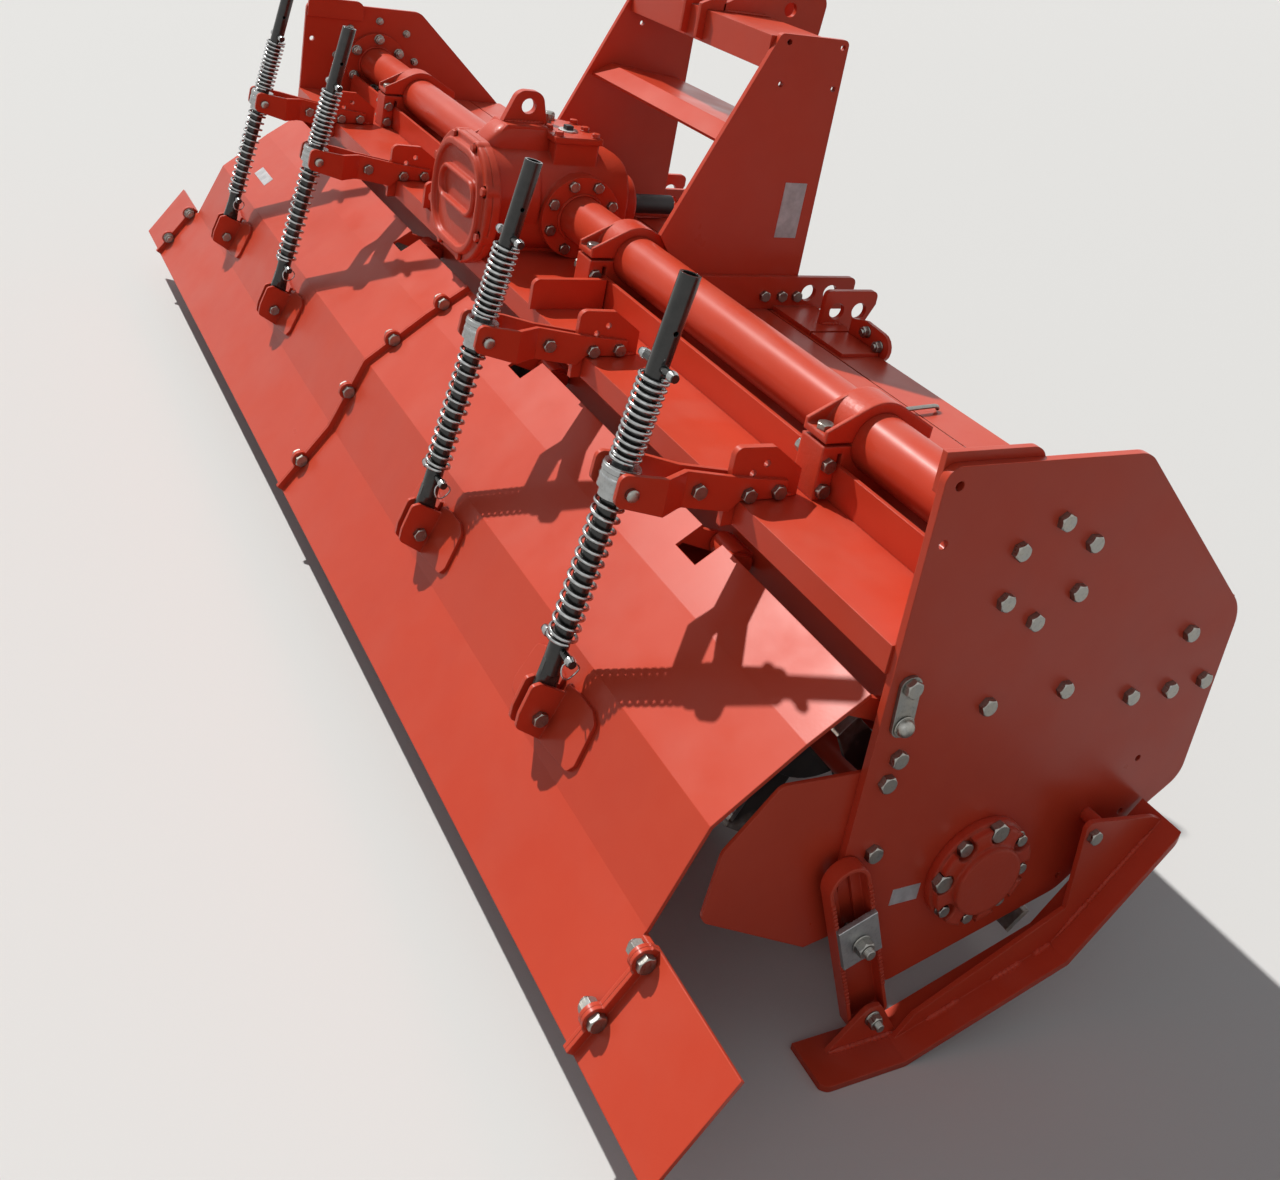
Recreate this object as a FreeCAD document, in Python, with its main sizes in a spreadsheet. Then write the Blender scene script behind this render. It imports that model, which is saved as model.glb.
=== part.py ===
"""Three metre rotary tiller: hood, end plates, spring loaded rear flap, bladed rotor, gearbox
and three point headstock.

Lengths are in millimetres. +X is the machine's right, +Y the way it travels, +Z up. X = 0 is the
flap's middle seam, Y = 0 the end plates' rear edge and Z = 0 the soles of the skids. The files
are written with Y = 0 at the middle of the machine's depth instead.
"""
import FreeCAD, Part
import math
import os
from collections import namedtuple

from FreeCAD import Placement, Rotation, Vector

os.makedirs("parts", exist_ok=True)
doc = FreeCAD.newDocument("rotary_tiller")

# Main sizes, named once and written to the sheet that drives the features.
SIZES = dict(
    half_width=1500.0,
    depth_middle_y=195.0,
    end_plate_gauge=12.0,
    sheet_gauge=6.0,
    deck_height=662.0,
    tube_y=225.0,
    tube_above_deck=93.0,
    tube_radius=50.0,
    tube_flange_radius=92.0,
    rotor_y=262.0,
    rotor_z=258.0,
    rotor_tip_radius=258.0,
    rotor_tube_radius=62.0,
    hinge_y=40.0,
    hinge_below_deck=117.0,
    swivel_y=-208.0,
    swivel_above_deck=44.0,
    rod_radius=16.0,
    rod_top_length=705.0,
    arm_spacing=546.5,
    headstock_half=300.0,
    headstock_height=580.0,
    hitch_plate_gauge=12.0,
    lower_pin_y=703.0,
    lower_pin_above_deck=37.0,
    lower_pin_radius=18.5,
    top_pin_y=640.0,
    top_pin_above_deck=593.0,
    top_pin_radius=16.2,
    gearbox_x=-110.0,
    gearbox_radius=118.0,
)
S = namedtuple("Sizes", SIZES)(**SIZES)
SEAT = 0.3
RUN = 0.06

sheet = doc.addObject("Spreadsheet::Sheet", "sizes")
for row, (alias, value) in enumerate(SIZES.items(), start=1):
    sheet.set(f"A{row}", alias)
    sheet.set(f"B{row}", str(value))
    sheet.setAlias(f"B{row}", alias)
doc.recompute()

nodes = []


def corner(a, b, c, radius):
    """Tangent points and mid point of a round of the given radius at corner b."""
    back = (a - b).normalize()
    ahead = (c - b).normalize()
    half = back.getAngle(ahead) / 2
    reach = radius / math.tan(half)
    centre = b + (back + ahead).normalize() * (radius / math.sin(half))
    middle = centre + (b - centre).normalize() * radius
    return b + back * reach, middle, b + ahead * reach


def outline(points):
    """Edges of a closed outline. Each point is (u, v) or (u, v, corner radius)."""
    flat = [Vector(p[0], p[1], 0) for p in points]
    edges = []
    ends = []
    count = len(points)
    for i, p in enumerate(points):
        radius = p[2] if len(p) > 2 else 0
        if radius:
            first, middle, last = corner(flat[i - 1], flat[i], flat[(i + 1) % count], radius)
            ends.append((first, last))
            edges.append(Part.Arc(first, middle, last))
        else:
            ends.append((flat[i], flat[i]))
    for i in range(count):
        start = ends[i][1]
        stop = ends[(i + 1) % count][0]
        if start.distanceToPoint(stop) > 1e-6:
            edges.append(Part.LineSegment(start, stop))
    return edges


# Local u, v and extrusion direction of a profile drawn square to each axis.
TURNS = {
    "X": Rotation(Vector(0, 1, 0), Vector(0, 0, 1), Vector(1, 0, 0), "ZXY"),
    "Y": Rotation(Vector(1, 0, 0), Vector(0, 0, 1), Vector(0, -1, 0), "ZXY"),
    "Z": Rotation(),
}


def size(obj, prop, value):
    """Set a length of a feature. A text value is a cell of the sheet, with a sum if need be."""
    if isinstance(value, str):
        obj.setExpression(prop, "sizes." + value)
    else:
        setattr(obj, prop, value)


def prism(points, axis, low, high, holes=()):
    """Extrude an outline along an axis from low to high. Holes are (u, v, radius)."""
    profile = doc.addObject("Sketcher::SketchObject", "profile")
    for edge in outline(points):
        profile.addGeometry(edge, False)
    for u, v, radius in holes:
        profile.addGeometry(Part.Circle(Vector(u, v, 0), Vector(0, 0, 1), radius), False)
    normal = {"X": Vector(1, 0, 0), "Y": Vector(0, -1, 0), "Z": Vector(0, 0, 1)}[axis]
    start = -high if axis == "Y" else low
    profile.Placement = Placement(normal * start, TURNS[axis])
    solid = doc.addObject("Part::Extrusion", "prism")
    solid.Base = profile
    solid.DirMode = "Custom"
    solid.Dir = normal
    solid.LengthFwd = high - low
    solid.Solid = True
    return solid


def block(x, y, z):
    """Box between three (low, high) pairs."""
    box = doc.addObject("Part::Box", "block")
    box.Length = x[1] - x[0]
    box.Width = y[1] - y[0]
    box.Height = z[1] - z[0]
    box.Placement.Base = Vector(x[0], y[0], z[0])
    return box


def rod(start, end, radius):
    """Round bar between two points. Its radius is a number or names a cell of the sheet."""
    start = Vector(*start)
    along = Vector(*end) - start
    bar = doc.addObject("Part::Cylinder", "bar")
    size(bar, "Radius", radius)
    bar.Height = along.Length
    bar.Placement = Placement(start, Rotation(Vector(0, 0, 1), along))
    return bar


def fuse(parts):
    if len(parts) == 1:
        return parts[0]
    joined = doc.addObject("Part::MultiFuse", "joined")
    joined.Shapes = parts
    return joined


def cut(base, tools):
    result = doc.addObject("Part::Cut", "cut")
    result.Base = base
    result.Tool = fuse(tools)
    return result


def common(base, tool):
    """What two solids share."""
    result = doc.addObject("Part::Common", "common")
    result.Base = base
    result.Tool = tool
    return result


def group(parts):
    together = doc.addObject("Part::Compound", "group")
    together.Links = parts
    return together


def mirrored(source):
    other = doc.addObject("Part::Mirroring", "mirrored")
    other.Source = source
    other.Normal = Vector(1, 0, 0)
    return other


def node(label, obj):
    obj.Label = label
    nodes.append(obj)
    return obj


def pair(label, right):
    """A part on the right and its mirror image on the left."""
    node(label + "_right", right)
    node(label + "_left", mirrored(right))


def offset(path, distance):
    """Points of an open path moved sideways, to the left of its direction of travel."""
    moved = []
    for i, p in enumerate(path):
        sides = []
        for a, b in ((i - 1, i), (i, i + 1)):
            if a >= 0 and b < len(path):
                along = (path[b] - path[a]).normalize()
                sides.append(Vector(along.y, -along.x, 0))
        normal = sides[0] if len(sides) == 1 else (sides[0] + sides[1]).normalize()
        moved.append(p + normal * (distance / normal.dot(sides[0])))
    return [(p.x, p.y) for p in moved]


def folded(points, low, high):
    """Closed outline of a folded sheet that lies between two offsets of an open path."""
    path = [Vector(u, v, 0) for u, v in points]
    return offset(path, low) + offset(path, high)[::-1]


def pad(label, points, start, gauge, holes=()):
    """Plate square to X as a body: a sketch on the body's own side plane and a pad."""
    body = doc.addObject("PartDesign::Body", label)
    plane = [f for f in body.Origin.OriginFeatures if f.Role == "YZ_Plane"][0]
    sketch = body.newObject("Sketcher::SketchObject", label + "_sketch")
    sketch.AttachmentSupport = (plane, [""])
    sketch.MapMode = "FlatFace"
    for edge in outline(points):
        sketch.addGeometry(edge, False)
    for u, v, radius in holes:
        sketch.addGeometry(Part.Circle(Vector(u, v, 0), Vector(0, 0, 1), radius), False)
    feature = body.newObject("PartDesign::Pad", label + "_pad")
    feature.Profile = sketch
    size(feature, "Length", gauge)
    body.Tip = feature
    body.Placement.Base = Vector(start, 0, 0)
    return body


deck = S.deck_height
tube_z = deck + S.tube_above_deck
hinge_z = deck - S.hinge_below_deck
inner_face = S.half_width - S.end_plate_gauge
inside = inner_face - SEAT
tube_axis = (S.tube_y, tube_z)
rotor_axis = (S.rotor_y, S.rotor_z)
hinge = (S.hinge_y, hinge_z)
HINGE_PIN_RADIUS = 8.0


def across(low, high, axis, radius):
    """Round bar along X between two places, on an axis given as (y, z)."""
    return rod((low, *axis), (high, *axis), radius)


def beside(origin, points):
    """Points given from an origin, moved to their place. A corner radius stays as it is."""
    return [(origin[0] + p[0], origin[1] + p[1], *p[2:]) for p in points]


# End plates, drawn as seen from the side. The top follows the drive tube, the foot the rotor.
END_PLATE = [
    (0, tube_z + 167, 22), (350, tube_z + 167, 45), (660, deck - 16, 70),
    *beside((0, S.rotor_z), [(664, 81, 45), (613, 42, 30), (460, -93, 60), (144, -189, 40),
                             (25, -68, 40), (9, 46, 40)]),
]
PLATE_HOLES = [
    (25, tube_z + 140, 7), (25, tube_z + 58, 7),
    *beside((0, S.rotor_z), [(547, 135, 5.5), (550, 35, 5.5), (457, -67, 5.5), (32, 52, 5.5)]),
    (*rotor_axis, 45), (*hinge, HINGE_PIN_RADIUS + RUN),
]
right_plate = pad("end_plate_right", END_PLATE, inner_face, "end_plate_gauge", PLATE_HOLES)
pair("end_plate", right_plate)
EDGE_BAR = [(3, tube_z + 125), (171, tube_z + 125), (171, tube_z + 181, 25), (3, tube_z + 181)]
pair("edge_bar", prism(EDGE_BAR, "X", inside - 10, inside))

# Hood: one folded sheet over the rotor. Its rear fold carries the flap's hinge knuckles.
HOOD_FRONT = 552.0
HOOD_PATH = [(S.hinge_y + 22, hinge_z - 40), (S.hinge_y + 22, hinge_z + 67), (0, hinge_z + 75),
             (0, deck), (HOOD_FRONT - 7, deck), (HOOD_FRONT, deck - 192)]
hood_sheet = prism(folded(HOOD_PATH, 0, S.sheet_gauge), "X", -inside, inside)
KNUCKLE_RADIUS = 15.0
KNUCKLE_HALF = 30.0
KNUCKLES_X = [-1058, -365, 365, 1058]
hood_parts = [hood_sheet]
for x in KNUCKLES_X:
    ends = (x - KNUCKLE_HALF, x + KNUCKLE_HALF)
    hood_parts.append(across(*ends, hinge, KNUCKLE_RADIUS))
    hood_parts.append(block(ends, (S.hinge_y, S.hinge_y + 24), (hinge_z - 12, hinge_z + 12)))
pin_bore = across(-inside, inside, hinge, HINGE_PIN_RADIUS + RUN)
node("hood", cut(fuse(hood_parts), [pin_bore]))

# Gearbox: where its sides stand and how thick the flanges beside it are.
gx = S.gearbox_x
GEARBOX_HALF = 115.0
gearbox_right = gx + GEARBOX_HALF
gearbox_left = gx - GEARBOX_HALF
FLANGE = 15.0

# Trough under the drive tube, from each end plate to the clamp next to the gearbox.
TROUGH_HALF = 73.0
TROUGH_DEPTH = 60.0
WALL = 8.0
trough_rear = S.tube_y - TROUGH_HALF
trough_front = S.tube_y + TROUGH_HALF
trough_floor = deck + SEAT
trough_top = deck + TROUGH_DEPTH
trough_section = [
    (trough_rear, trough_floor), (trough_front, trough_floor), (trough_front, trough_top),
    (trough_front - WALL, trough_top), (trough_front - WALL, trough_floor + WALL),
    (trough_rear + WALL, trough_floor + WALL), (trough_rear + WALL, trough_top),
    (trough_rear, trough_top),
]
trough_end = inside - FLANGE - 5
CLAMP_HALF = 30.0
CLAMP_FROM_GEARBOX = 370.0
trough_start = CLAMP_FROM_GEARBOX - CLAMP_HALF
node("trough_right", prism(trough_section, "X", gx + trough_start, trough_end))
node("trough_left", prism(trough_section, "X", -trough_end, gx - trough_start))

# Front box beam between the end plates.
BEAM_WALL = 10.0
beam_rear = HOOD_FRONT + SEAT
beam_front = HOOD_FRONT + 103
beam_low = deck - 102
beam_top = deck - 2
hollow = block((-inside - 1, inside + 1), (beam_rear + BEAM_WALL, beam_front - BEAM_WALL),
               (beam_low + BEAM_WALL, beam_top - BEAM_WALL))
node("front_beam", cut(block((-inside, inside), (beam_rear, beam_front), (beam_low, beam_top)),
                       [hollow]))

# Drive tubes from the gearbox out to each end plate, with bolted flanges.
for label, near, far in (("drive_tube_right", gearbox_right + SEAT, inside),
                         ("drive_tube_left", -inside, gearbox_left - SEAT)):
    tube = [
        across(near, far, tube_axis, "tube_radius"),
        across(near, near + FLANGE, tube_axis, "tube_flange_radius"),
        across(far - FLANGE, far, tube_axis, "tube_flange_radius"),
    ]
    node(label, cut(fuse(tube), [across(near - 1, far + 1, tube_axis, "tube_radius - 9")]))

# Split clamps that hold the tubes down on the trough. Each cap has pocketed ears.
CLAMP_EAR = 102.0
CLAMP_RING = 18.0
RIB = 7.0
CLAMP_X = [-S.half_width + 410, gx - CLAMP_FROM_GEARBOX, gx + CLAMP_FROM_GEARBOX,
           S.half_width - 410]
clamps = []
for x in CLAMP_X:
    low = x - CLAMP_HALF
    high = x + CLAMP_HALF
    y, z = tube_axis
    ring = cut(across(low, high, tube_axis, f"tube_radius + {CLAMP_RING}"),
               [block((low - 1, high + 1), (y - 90, y + 90), (z - 90, z + 3))])
    cap = [ring, block((low, high), (y - CLAMP_EAR, y + CLAMP_EAR), (z + 3, z + 14))]
    for side in (-1, 1):
        rib = [(y + side * CLAMP_EAR, z + 10), (y + side * CLAMP_EAR, z + 22),
               (y + side * 36, z + 58), (y + side * 36, z + 10)]
        cap.append(prism(rib, "X", low, low + RIB))
        cap.append(prism(rib, "X", high - RIB, high))
    clamps.append(cut(fuse(cap), [across(low - 1, high + 1, tube_axis, f"tube_radius + {SEAT}")]))
    seat_low = trough_floor + WALL + SEAT
    saddle = [
        block((low, high), (trough_rear + WALL + SEAT, trough_front - WALL - SEAT),
              (seat_low, z - 3)),
        block((low, high), (y - CLAMP_EAR, y + CLAMP_EAR), (z - 15, z - 3)),
        block((low, high), (y - CLAMP_EAR, trough_rear - SEAT), (deck + SEAT, z - 15)),
        block((low, high), (trough_front + SEAT, y + CLAMP_EAR - 12), (deck + SEAT, z - 15)),
    ]
    clamps.append(cut(fuse(saddle), [across(low - 1, high + 1, tube_axis,
                                            f"tube_radius + {SEAT}")]))
node("tube_clamps", group(clamps))

# Gearbox case: barrel, rounded front, side bosses, input neck, a top opening, and the hump
# behind it that the lifting eye stands on.
gear_z = tube_z + 15
GEAR_FLANGE = 126.0
case_top = gear_z + S.gearbox_radius
barrel_end = S.tube_y - S.tube_flange_radius - 3
cover_low = case_top + 18
COVER_OUTLINE = [(gx + 78, 164), (gx + 78, 268), (gx - 60, 268), (gx - 94, 216), (gx - 60, 164)]
barrel = cut(rod((gx, -2, gear_z), (gx, barrel_end, gear_z), "gearbox_radius"),
             [block((gx - 130, gx + 130), (-1, barrel_end + 1), (deck - 60, deck + SEAT))])
front_section = prism([(gx - 112, deck + SEAT, 50), (gx + 112, deck + SEAT, 50),
                       (gx + 112, case_top, 111), (gx - 112, case_top, 111)], "Y", 70, 345)
front_side = prism([(70, deck + SEAT), (345, deck + SEAT, 30), (345, case_top, 42),
                    (70, case_top)], "X", gx - 113, gx + 113)
hump_top = case_top + 41
hump = prism([(32, gear_z + 60), (32, case_top + 2), (63, hump_top), (157, hump_top),
              (157, gear_z + 60)], "X", gx - 38, gx + 38)
case = fuse([
    barrel,
    rod((gx, -14, gear_z), (gx, -2, gear_z), GEAR_FLANGE),
    common(front_section, front_side),
    hump,
    across(gearbox_left, gearbox_right, tube_axis, "tube_flange_radius - 1"),
    rod((gx, 340, tube_z), (gx, 394, tube_z), 68),
    rod((gx, 390, tube_z), (gx, 402, tube_z), 46),
    prism(COVER_OUTLINE, "Z", tube_z + 60, cover_low),
    block((gx - 90, gx + 90), (60, 330), (deck + SEAT, deck + 30)),
])
SHAFT_RADIUS = 17.5
node("gearbox_case", cut(case, [rod((gx, 375, tube_z), (gx, 403, tube_z), SHAFT_RADIUS + RUN)]))


def panel_outline(half_x, half_z, rounding):
    """Rounded rectangle round the middle of the gearbox's rear end."""
    return [(gx + u * half_x, gear_z + v * half_z, rounding)
            for u, v in ((-1, -1), (1, -1), (1, 1), (-1, 1))]


def rim(outer, inner, low, high, floor):
    """Raised frame with a sunk panel inside it, on the gearbox's rear end."""
    sunk = prism(panel_outline(*inner), "Y", low - 1, floor)
    return cut(prism(panel_outline(*outer), "Y", low, high), [sunk])


node("gearbox_rear_cover", fuse([
    rod((gx, -26, gear_z), (gx, -14 - SEAT, gear_z), 124),
    rim((98, 98, 66), (86, 86, 54), -36, -25, -27),
    rim((74, 34, 32), (62, 22, 20), -34, -26, -28),
]))
TOP_COVER = [(gx + 84, 158), (gx + 84, 274), (gx - 63, 274), (gx - 101, 216), (gx - 63, 158)]
node("gearbox_top_cover", prism(TOP_COVER, "Z", cover_low + SEAT, cover_low + 14))
EYE_HOLE = (119, case_top + 78, 17.0)
eye_foot = hump_top + SEAT - EYE_HOLE[1]
EYE = [(-56, eye_foot), (48, eye_foot), (30, 33, 28), (-28, 34, 28)]
node("lifting_eye", prism(beside(EYE_HOLE, EYE), "X", gx - 9, gx + 9, [EYE_HOLE]))

# Input shaft and the cap over it turn together.
node("input_shaft", rod((gx, 378, tube_z), (gx, 505, tube_z), SHAFT_RADIUS))
cap_outer = rod((gx, 408, tube_z), (gx, 520, tube_z), SHAFT_RADIUS + 5)
cap_inner = rod((gx, 407, tube_z), (gx, 512, tube_z), SHAFT_RADIUS + SEAT)
node("shaft_cap", cut(cap_outer, [cap_inner]))

# Side gear case on the left end plate: a flange, and the cover over the gear train.
STUB_RADIUS = 25.0
gear_case = []
for inset, depth in ((0, 14), (14, 74)):
    upper = beside(tube_axis, [(130 - inset, 135 - inset, 95), (130 - inset, -115, 90)])
    lower = beside(rotor_axis, [(123 - inset, 2, 60), (123 - inset, -120 + inset, 95),
                                (-122 + inset, -120 + inset, 95), (-122 + inset, 2, 60)])
    rear = beside(tube_axis, [(-130 + inset, -115, 90), (-130 + inset, 135 - inset, 95)])
    gear_case.append(prism(upper + lower + rear, "X", -S.half_width - depth,
                           -S.half_width - SEAT))
gear_bore = across(-S.half_width - 40, -S.half_width, rotor_axis, STUB_RADIUS + RUN)
node("side_gear_case", cut(fuse(gear_case), [gear_bore]))
bearing = fuse([
    across(S.half_width + SEAT, S.half_width + 14, rotor_axis, 88),
    across(S.half_width + 14, S.half_width + 26, rotor_axis, 84),
    across(S.half_width + 26, S.half_width + 36, rotor_axis, 57),
])
bearing_cuts = [across(S.half_width, S.half_width + 28, rotor_axis, STUB_RADIUS + RUN)]
for k in range(8):
    turn = math.radians(41 + 45 * k)
    bolt_place = (S.rotor_y + 76 * math.cos(turn), S.rotor_z + 76 * math.sin(turn))
    bearing_cuts.append(across(S.half_width + 14, S.half_width + 27, bolt_place, 17))
node("rotor_bearing", cut(bearing, bearing_cuts))

# Headstock: two tall plates, a box across the top with the top link bracket, and a shelf.
hx = S.headstock_half
gauge = S.hitch_plate_gauge
plate_foot = deck + SEAT
head_top = deck + S.headstock_height
HEADSTOCK = [(446, head_top, 12), (612, head_top, 12), (616, deck + 62), (616, plate_foot),
             (310, plate_foot), (310, deck + 78), (258, deck + 153)]
SMALL_HOLES = [(467, head_top - 16, 6), (599, head_top - 16, 6), (467, head_top - 101, 6),
               (597, head_top - 101, 6)]
pair("headstock_plate", pad("headstock_plate_right", HEADSTOCK, hx, "hitch_plate_gauge",
                            SMALL_HOLES))
between = hx - SEAT
box_top = head_top - 8
node("headstock_box", cut(block((-between, between), (430, 590), (box_top - 68, box_top)),
                          [block((-between - 1, between + 1), (438, 582),
                                 (box_top - 60, box_top - 8))]))
SHELF = beside((0, head_top), [(358, -228), (402, -202), (592, -224)])
node("headstock_shelf", prism(folded(SHELF, 0, 8), "X", -between, between))
top_pin = (S.top_pin_y, deck + S.top_pin_above_deck)
LINK_PLATE = beside(top_pin, [(-48, -105), (0, -127), (88, -50, 20), (95, 45, 30), (-80, 45, 30),
                              (-170, -5)])
LINK_PLATE += [(470, box_top + SEAT), (592, box_top + SEAT)]
link_plates = []
for low in (-40, 28):
    link_plates.append(prism(LINK_PLATE, "X", low, low + gauge, [(*top_pin, S.top_pin_radius)]))
link_plates.append(block((-30, 30), (470, 552), (box_top + SEAT, box_top + 12)))
node("top_link_bracket", fuse(link_plates))

# Lower link lugs: two plates a side, tied by a foot on the front beam.
lower_pin = (S.lower_pin_y, deck + S.lower_pin_above_deck)
LUG_HOLES = [(*lower_pin, S.lower_pin_radius), (lower_pin[0] - 58, lower_pin[1],
                                                S.lower_pin_radius)]
lug_top = lower_pin[1] + 45
INNER_LUG = [(trough_front + 4, plate_foot), (765, plate_foot), (765, lug_top - 9, 14),
             (trough_front + 4, lug_top - 9)]
OUTER_LUG = [(610, beam_top + SEAT), (beam_front + 2, beam_top + SEAT),
             (beam_front + 2, beam_low + 40), (698, beam_low + 40, 20),
             (706, deck - 22, 12), (744, deck + 53), (744, lug_top, 14), (610, lug_top, 14)]
inner_low = hx + gauge + SEAT
lugs = fuse([
    prism(INNER_LUG, "X", inner_low, inner_low + gauge, LUG_HOLES),
    prism(OUTER_LUG, "X", hx + 120, hx + 120 + gauge, LUG_HOLES),
    block((inner_low, hx + 168), (beam_front + SEAT, beam_front + 12), (beam_low + 42, deck)),
    block((inner_low, hx + 168), (560, beam_front + 12), (beam_top + SEAT, deck + 8)),
])
pair("lower_link_lugs", lugs)
STRIP = [(-10, plate_foot), (trough_rear - 4, plate_foot), (trough_rear - 4, deck + 62),
         (-10, deck + 62, 14)]
pair("base_strip", prism(STRIP, "X", inner_low, inner_low + gauge))

# Skids under both ends, with the slotted links that set their height.
SOLE_PATH = [(594, 307), (430, 103), (150, 0), (3, 0)]
SOLE_GAUGE = 10.0
SOLE_PLAN = [(S.half_width + 5, 1), (S.half_width + 85, 1, 18), (S.half_width + 85, 596, 18),
             (S.half_width + 5, 596)]
sole_strip = prism(folded(SOLE_PATH, 0, SOLE_GAUGE), "X", S.half_width + 5, S.half_width + 85)
sole = common(sole_strip, prism(SOLE_PLAN, "Z", -1, 330))
WEB = [(150, 6), (181, 48), (433, 176), (417, 338, 12), (562, 318, 12), (590, 306), (428, 105)]
web = prism(WEB, "X", S.half_width + 40, S.half_width + 48)
spacer = across(S.half_width + SEAT, S.half_width + 42, (470, 307), 11)
lug = prism([(40, 6), (170, 6), (122, 74, 14), (98, 74, 14)], "X", S.half_width + 28,
            S.half_width + 36, [(110, 54, 8)])
pair("skid", fuse([sole, web, spacer, lug]))

# The link is a slotted channel, closed round its top, that hangs on the skid's lug.
LINK_TILT = math.atan2(303 - 54, 110 - 9)
LINK_LENGTH = 269.0


def long_hole(low, high, half, rounding):
    """Outline along the link, from one distance to another, rounded at its corners."""
    return [(low, -half, rounding), (high, -half, rounding), (high, half, rounding),
            (low, half, rounding)]


link = prism(long_hole(-22, LINK_LENGTH + 33, 33, 21), "X", 0, 26, [(0, 0, 8)])
channel = prism(long_hole(-60, LINK_LENGTH + 27, 27, 18), "X", 6, 27)
slot = prism(long_hole(105, LINK_LENGTH + 8, 11, 10), "X", -1, 7)
skid_link = cut(link, [channel, slot])
skid_link.Placement = Placement(Vector(S.half_width + SEAT, 110, 54),
                                Rotation(Vector(1, 0, 0), 180 - math.degrees(LINK_TILT)))
pair("skid_link", skid_link)

# Shields that close the gap between the flap and the end plates, and the flap's end straps.
SHIELD = beside((0, S.rotor_z), [(30, 205), (-118, 209, 20), (-188, 118, 20), (-198, 10, 20),
                                 (-9, -86), (40, -76), (80, 42), (80, 205)])
pair("side_shield", prism(SHIELD, "X", inside - 6, inside))
END_STRAP = beside(hinge, [(-17, -17, 15), (17, -17, 15), (11, 76, 15), (-23, 76, 15)])
pair("end_strap", prism(END_STRAP, "X", S.half_width + SEAT, S.half_width + 6,
                        [(*hinge, HINGE_PIN_RADIUS + RUN)]))

# Rotor: tube with stub ends, and twelve flanges of six L shaped blades.
RING_COUNT = 12
BLADES = 6
RING_TURN = 15.0
ring_pitch = (2 * S.half_width - 250) / (RING_COUNT - 1)
tube_end = S.half_width - 28
tube_shell = cut(across(-tube_end, tube_end, rotor_axis, "rotor_tube_radius"),
                 [across(32 - tube_end, tube_end - 32, rotor_axis, "rotor_tube_radius - 12")])
stubs = [across(side * (tube_end - 22), side * (S.half_width + 24), rotor_axis, STUB_RADIUS)
         for side in (-1, 1)]
node("rotor_tube", fuse([tube_shell] + stubs))

tip = S.rotor_tip_radius
FOOT_HALF = 24.0


def blade(x, angle, side):
    """One blade: a shank bolted to the flange and a flat foot bent sideways along the rotor."""
    low = x + 5 if side > 0 else x - 13
    shank = prism([(-26, 84), (26, 84), (32, 150), (20, tip - 48), (18, tip - 2),
                   (-FOOT_HALF + 2, tip - 2), (-36, tip - 48), (-32, 150)], "X", low, low + 8)
    reach = (low, low + 90) if side > 0 else (low + 8 - 90, low + 8)
    foot = prism([(-FOOT_HALF, tip), (-FOOT_HALF, tip - 5), (-FOOT_HALF + 8, tip - 9),
                  (FOOT_HALF, tip - 9), (FOOT_HALF, tip)], "X", *reach)
    joined = fuse([shank, foot])
    joined.Placement = Placement(Vector(0, *rotor_axis), Rotation(Vector(1, 0, 0), angle))
    return joined


rings = []
for i in range(RING_COUNT):
    x = (i - (RING_COUNT - 1) / 2) * ring_pitch
    disc = cut(across(x - 5, x + 5, rotor_axis, 132),
               [across(x - 6, x + 6, rotor_axis, f"rotor_tube_radius + {RUN}")])
    blades = [blade(x, i * RING_TURN + k * 360 / BLADES, 1 if k % 2 else -1)
              for k in range(BLADES)]
    rings.append(fuse([disc] + blades))
node("rotor_blades", group(rings))

# Flap: two folded panels bolted together at the middle, and an extension at each end.
FLAP_PATH = beside(hinge, [(-40, 34), (-125, -29), (-247, -133), (-308, -283), (-405, -423)])
panel_end = S.half_width - 26
lip_end = S.half_width + 5
SEAM_EAR = 18.0
# A bolt of a seam is (facet it is on, how far down that facet it stands).
MIDDLE_BOLTS = [(0, 0.62), (1, 0.55), (2, 0.45), (3, 0.55)]
END_BOLTS = [(3, 0.12), (3, 0.68)]


def seam(bolts, low, high, first=0):
    """Standing edge along the folds, raised into a round ear at each bolt."""
    parts = [prism(folded(FLAP_PATH[first:], -S.sheet_gauge, 13), "X", low, high)]
    for facet, share in bolts:
        top = Vector(*FLAP_PATH[facet], 0)
        along = Vector(*FLAP_PATH[facet + 1], 0) - top
        out = Vector(along.y, -along.x, 0).normalize()
        centre = top + along * share + out * 12
        parts.append(across(low, high, (centre.x, centre.y), SEAM_EAR))
    return parts


HINGE_EAR = beside(hinge, [(-74, 6), (-44, 28), (-10, 17, 8), (16, 11, 10), (16, -15, 10),
                           (-16, -15, 8)])


def hinge_ears():
    """Ears beside each knuckle with the pin through them, and one at the flap's end."""
    ears = []
    for x in KNUCKLES_X[2:]:
        for low in (x - KNUCKLE_HALF - 11, x + KNUCKLE_HALF + 1):
            ears.append(prism(HINGE_EAR, "X", low, low + 10))
        ears.append(across(x - KNUCKLE_HALF - 10, x + KNUCKLE_HALF + 10, hinge,
                           HINGE_PIN_RADIUS))
    ears.append(prism(HINGE_EAR, "X", panel_end - 14, panel_end - 4))
    ears.append(across(panel_end - 14, S.half_width + 12, hinge, HINGE_PIN_RADIUS))
    return ears


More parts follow.
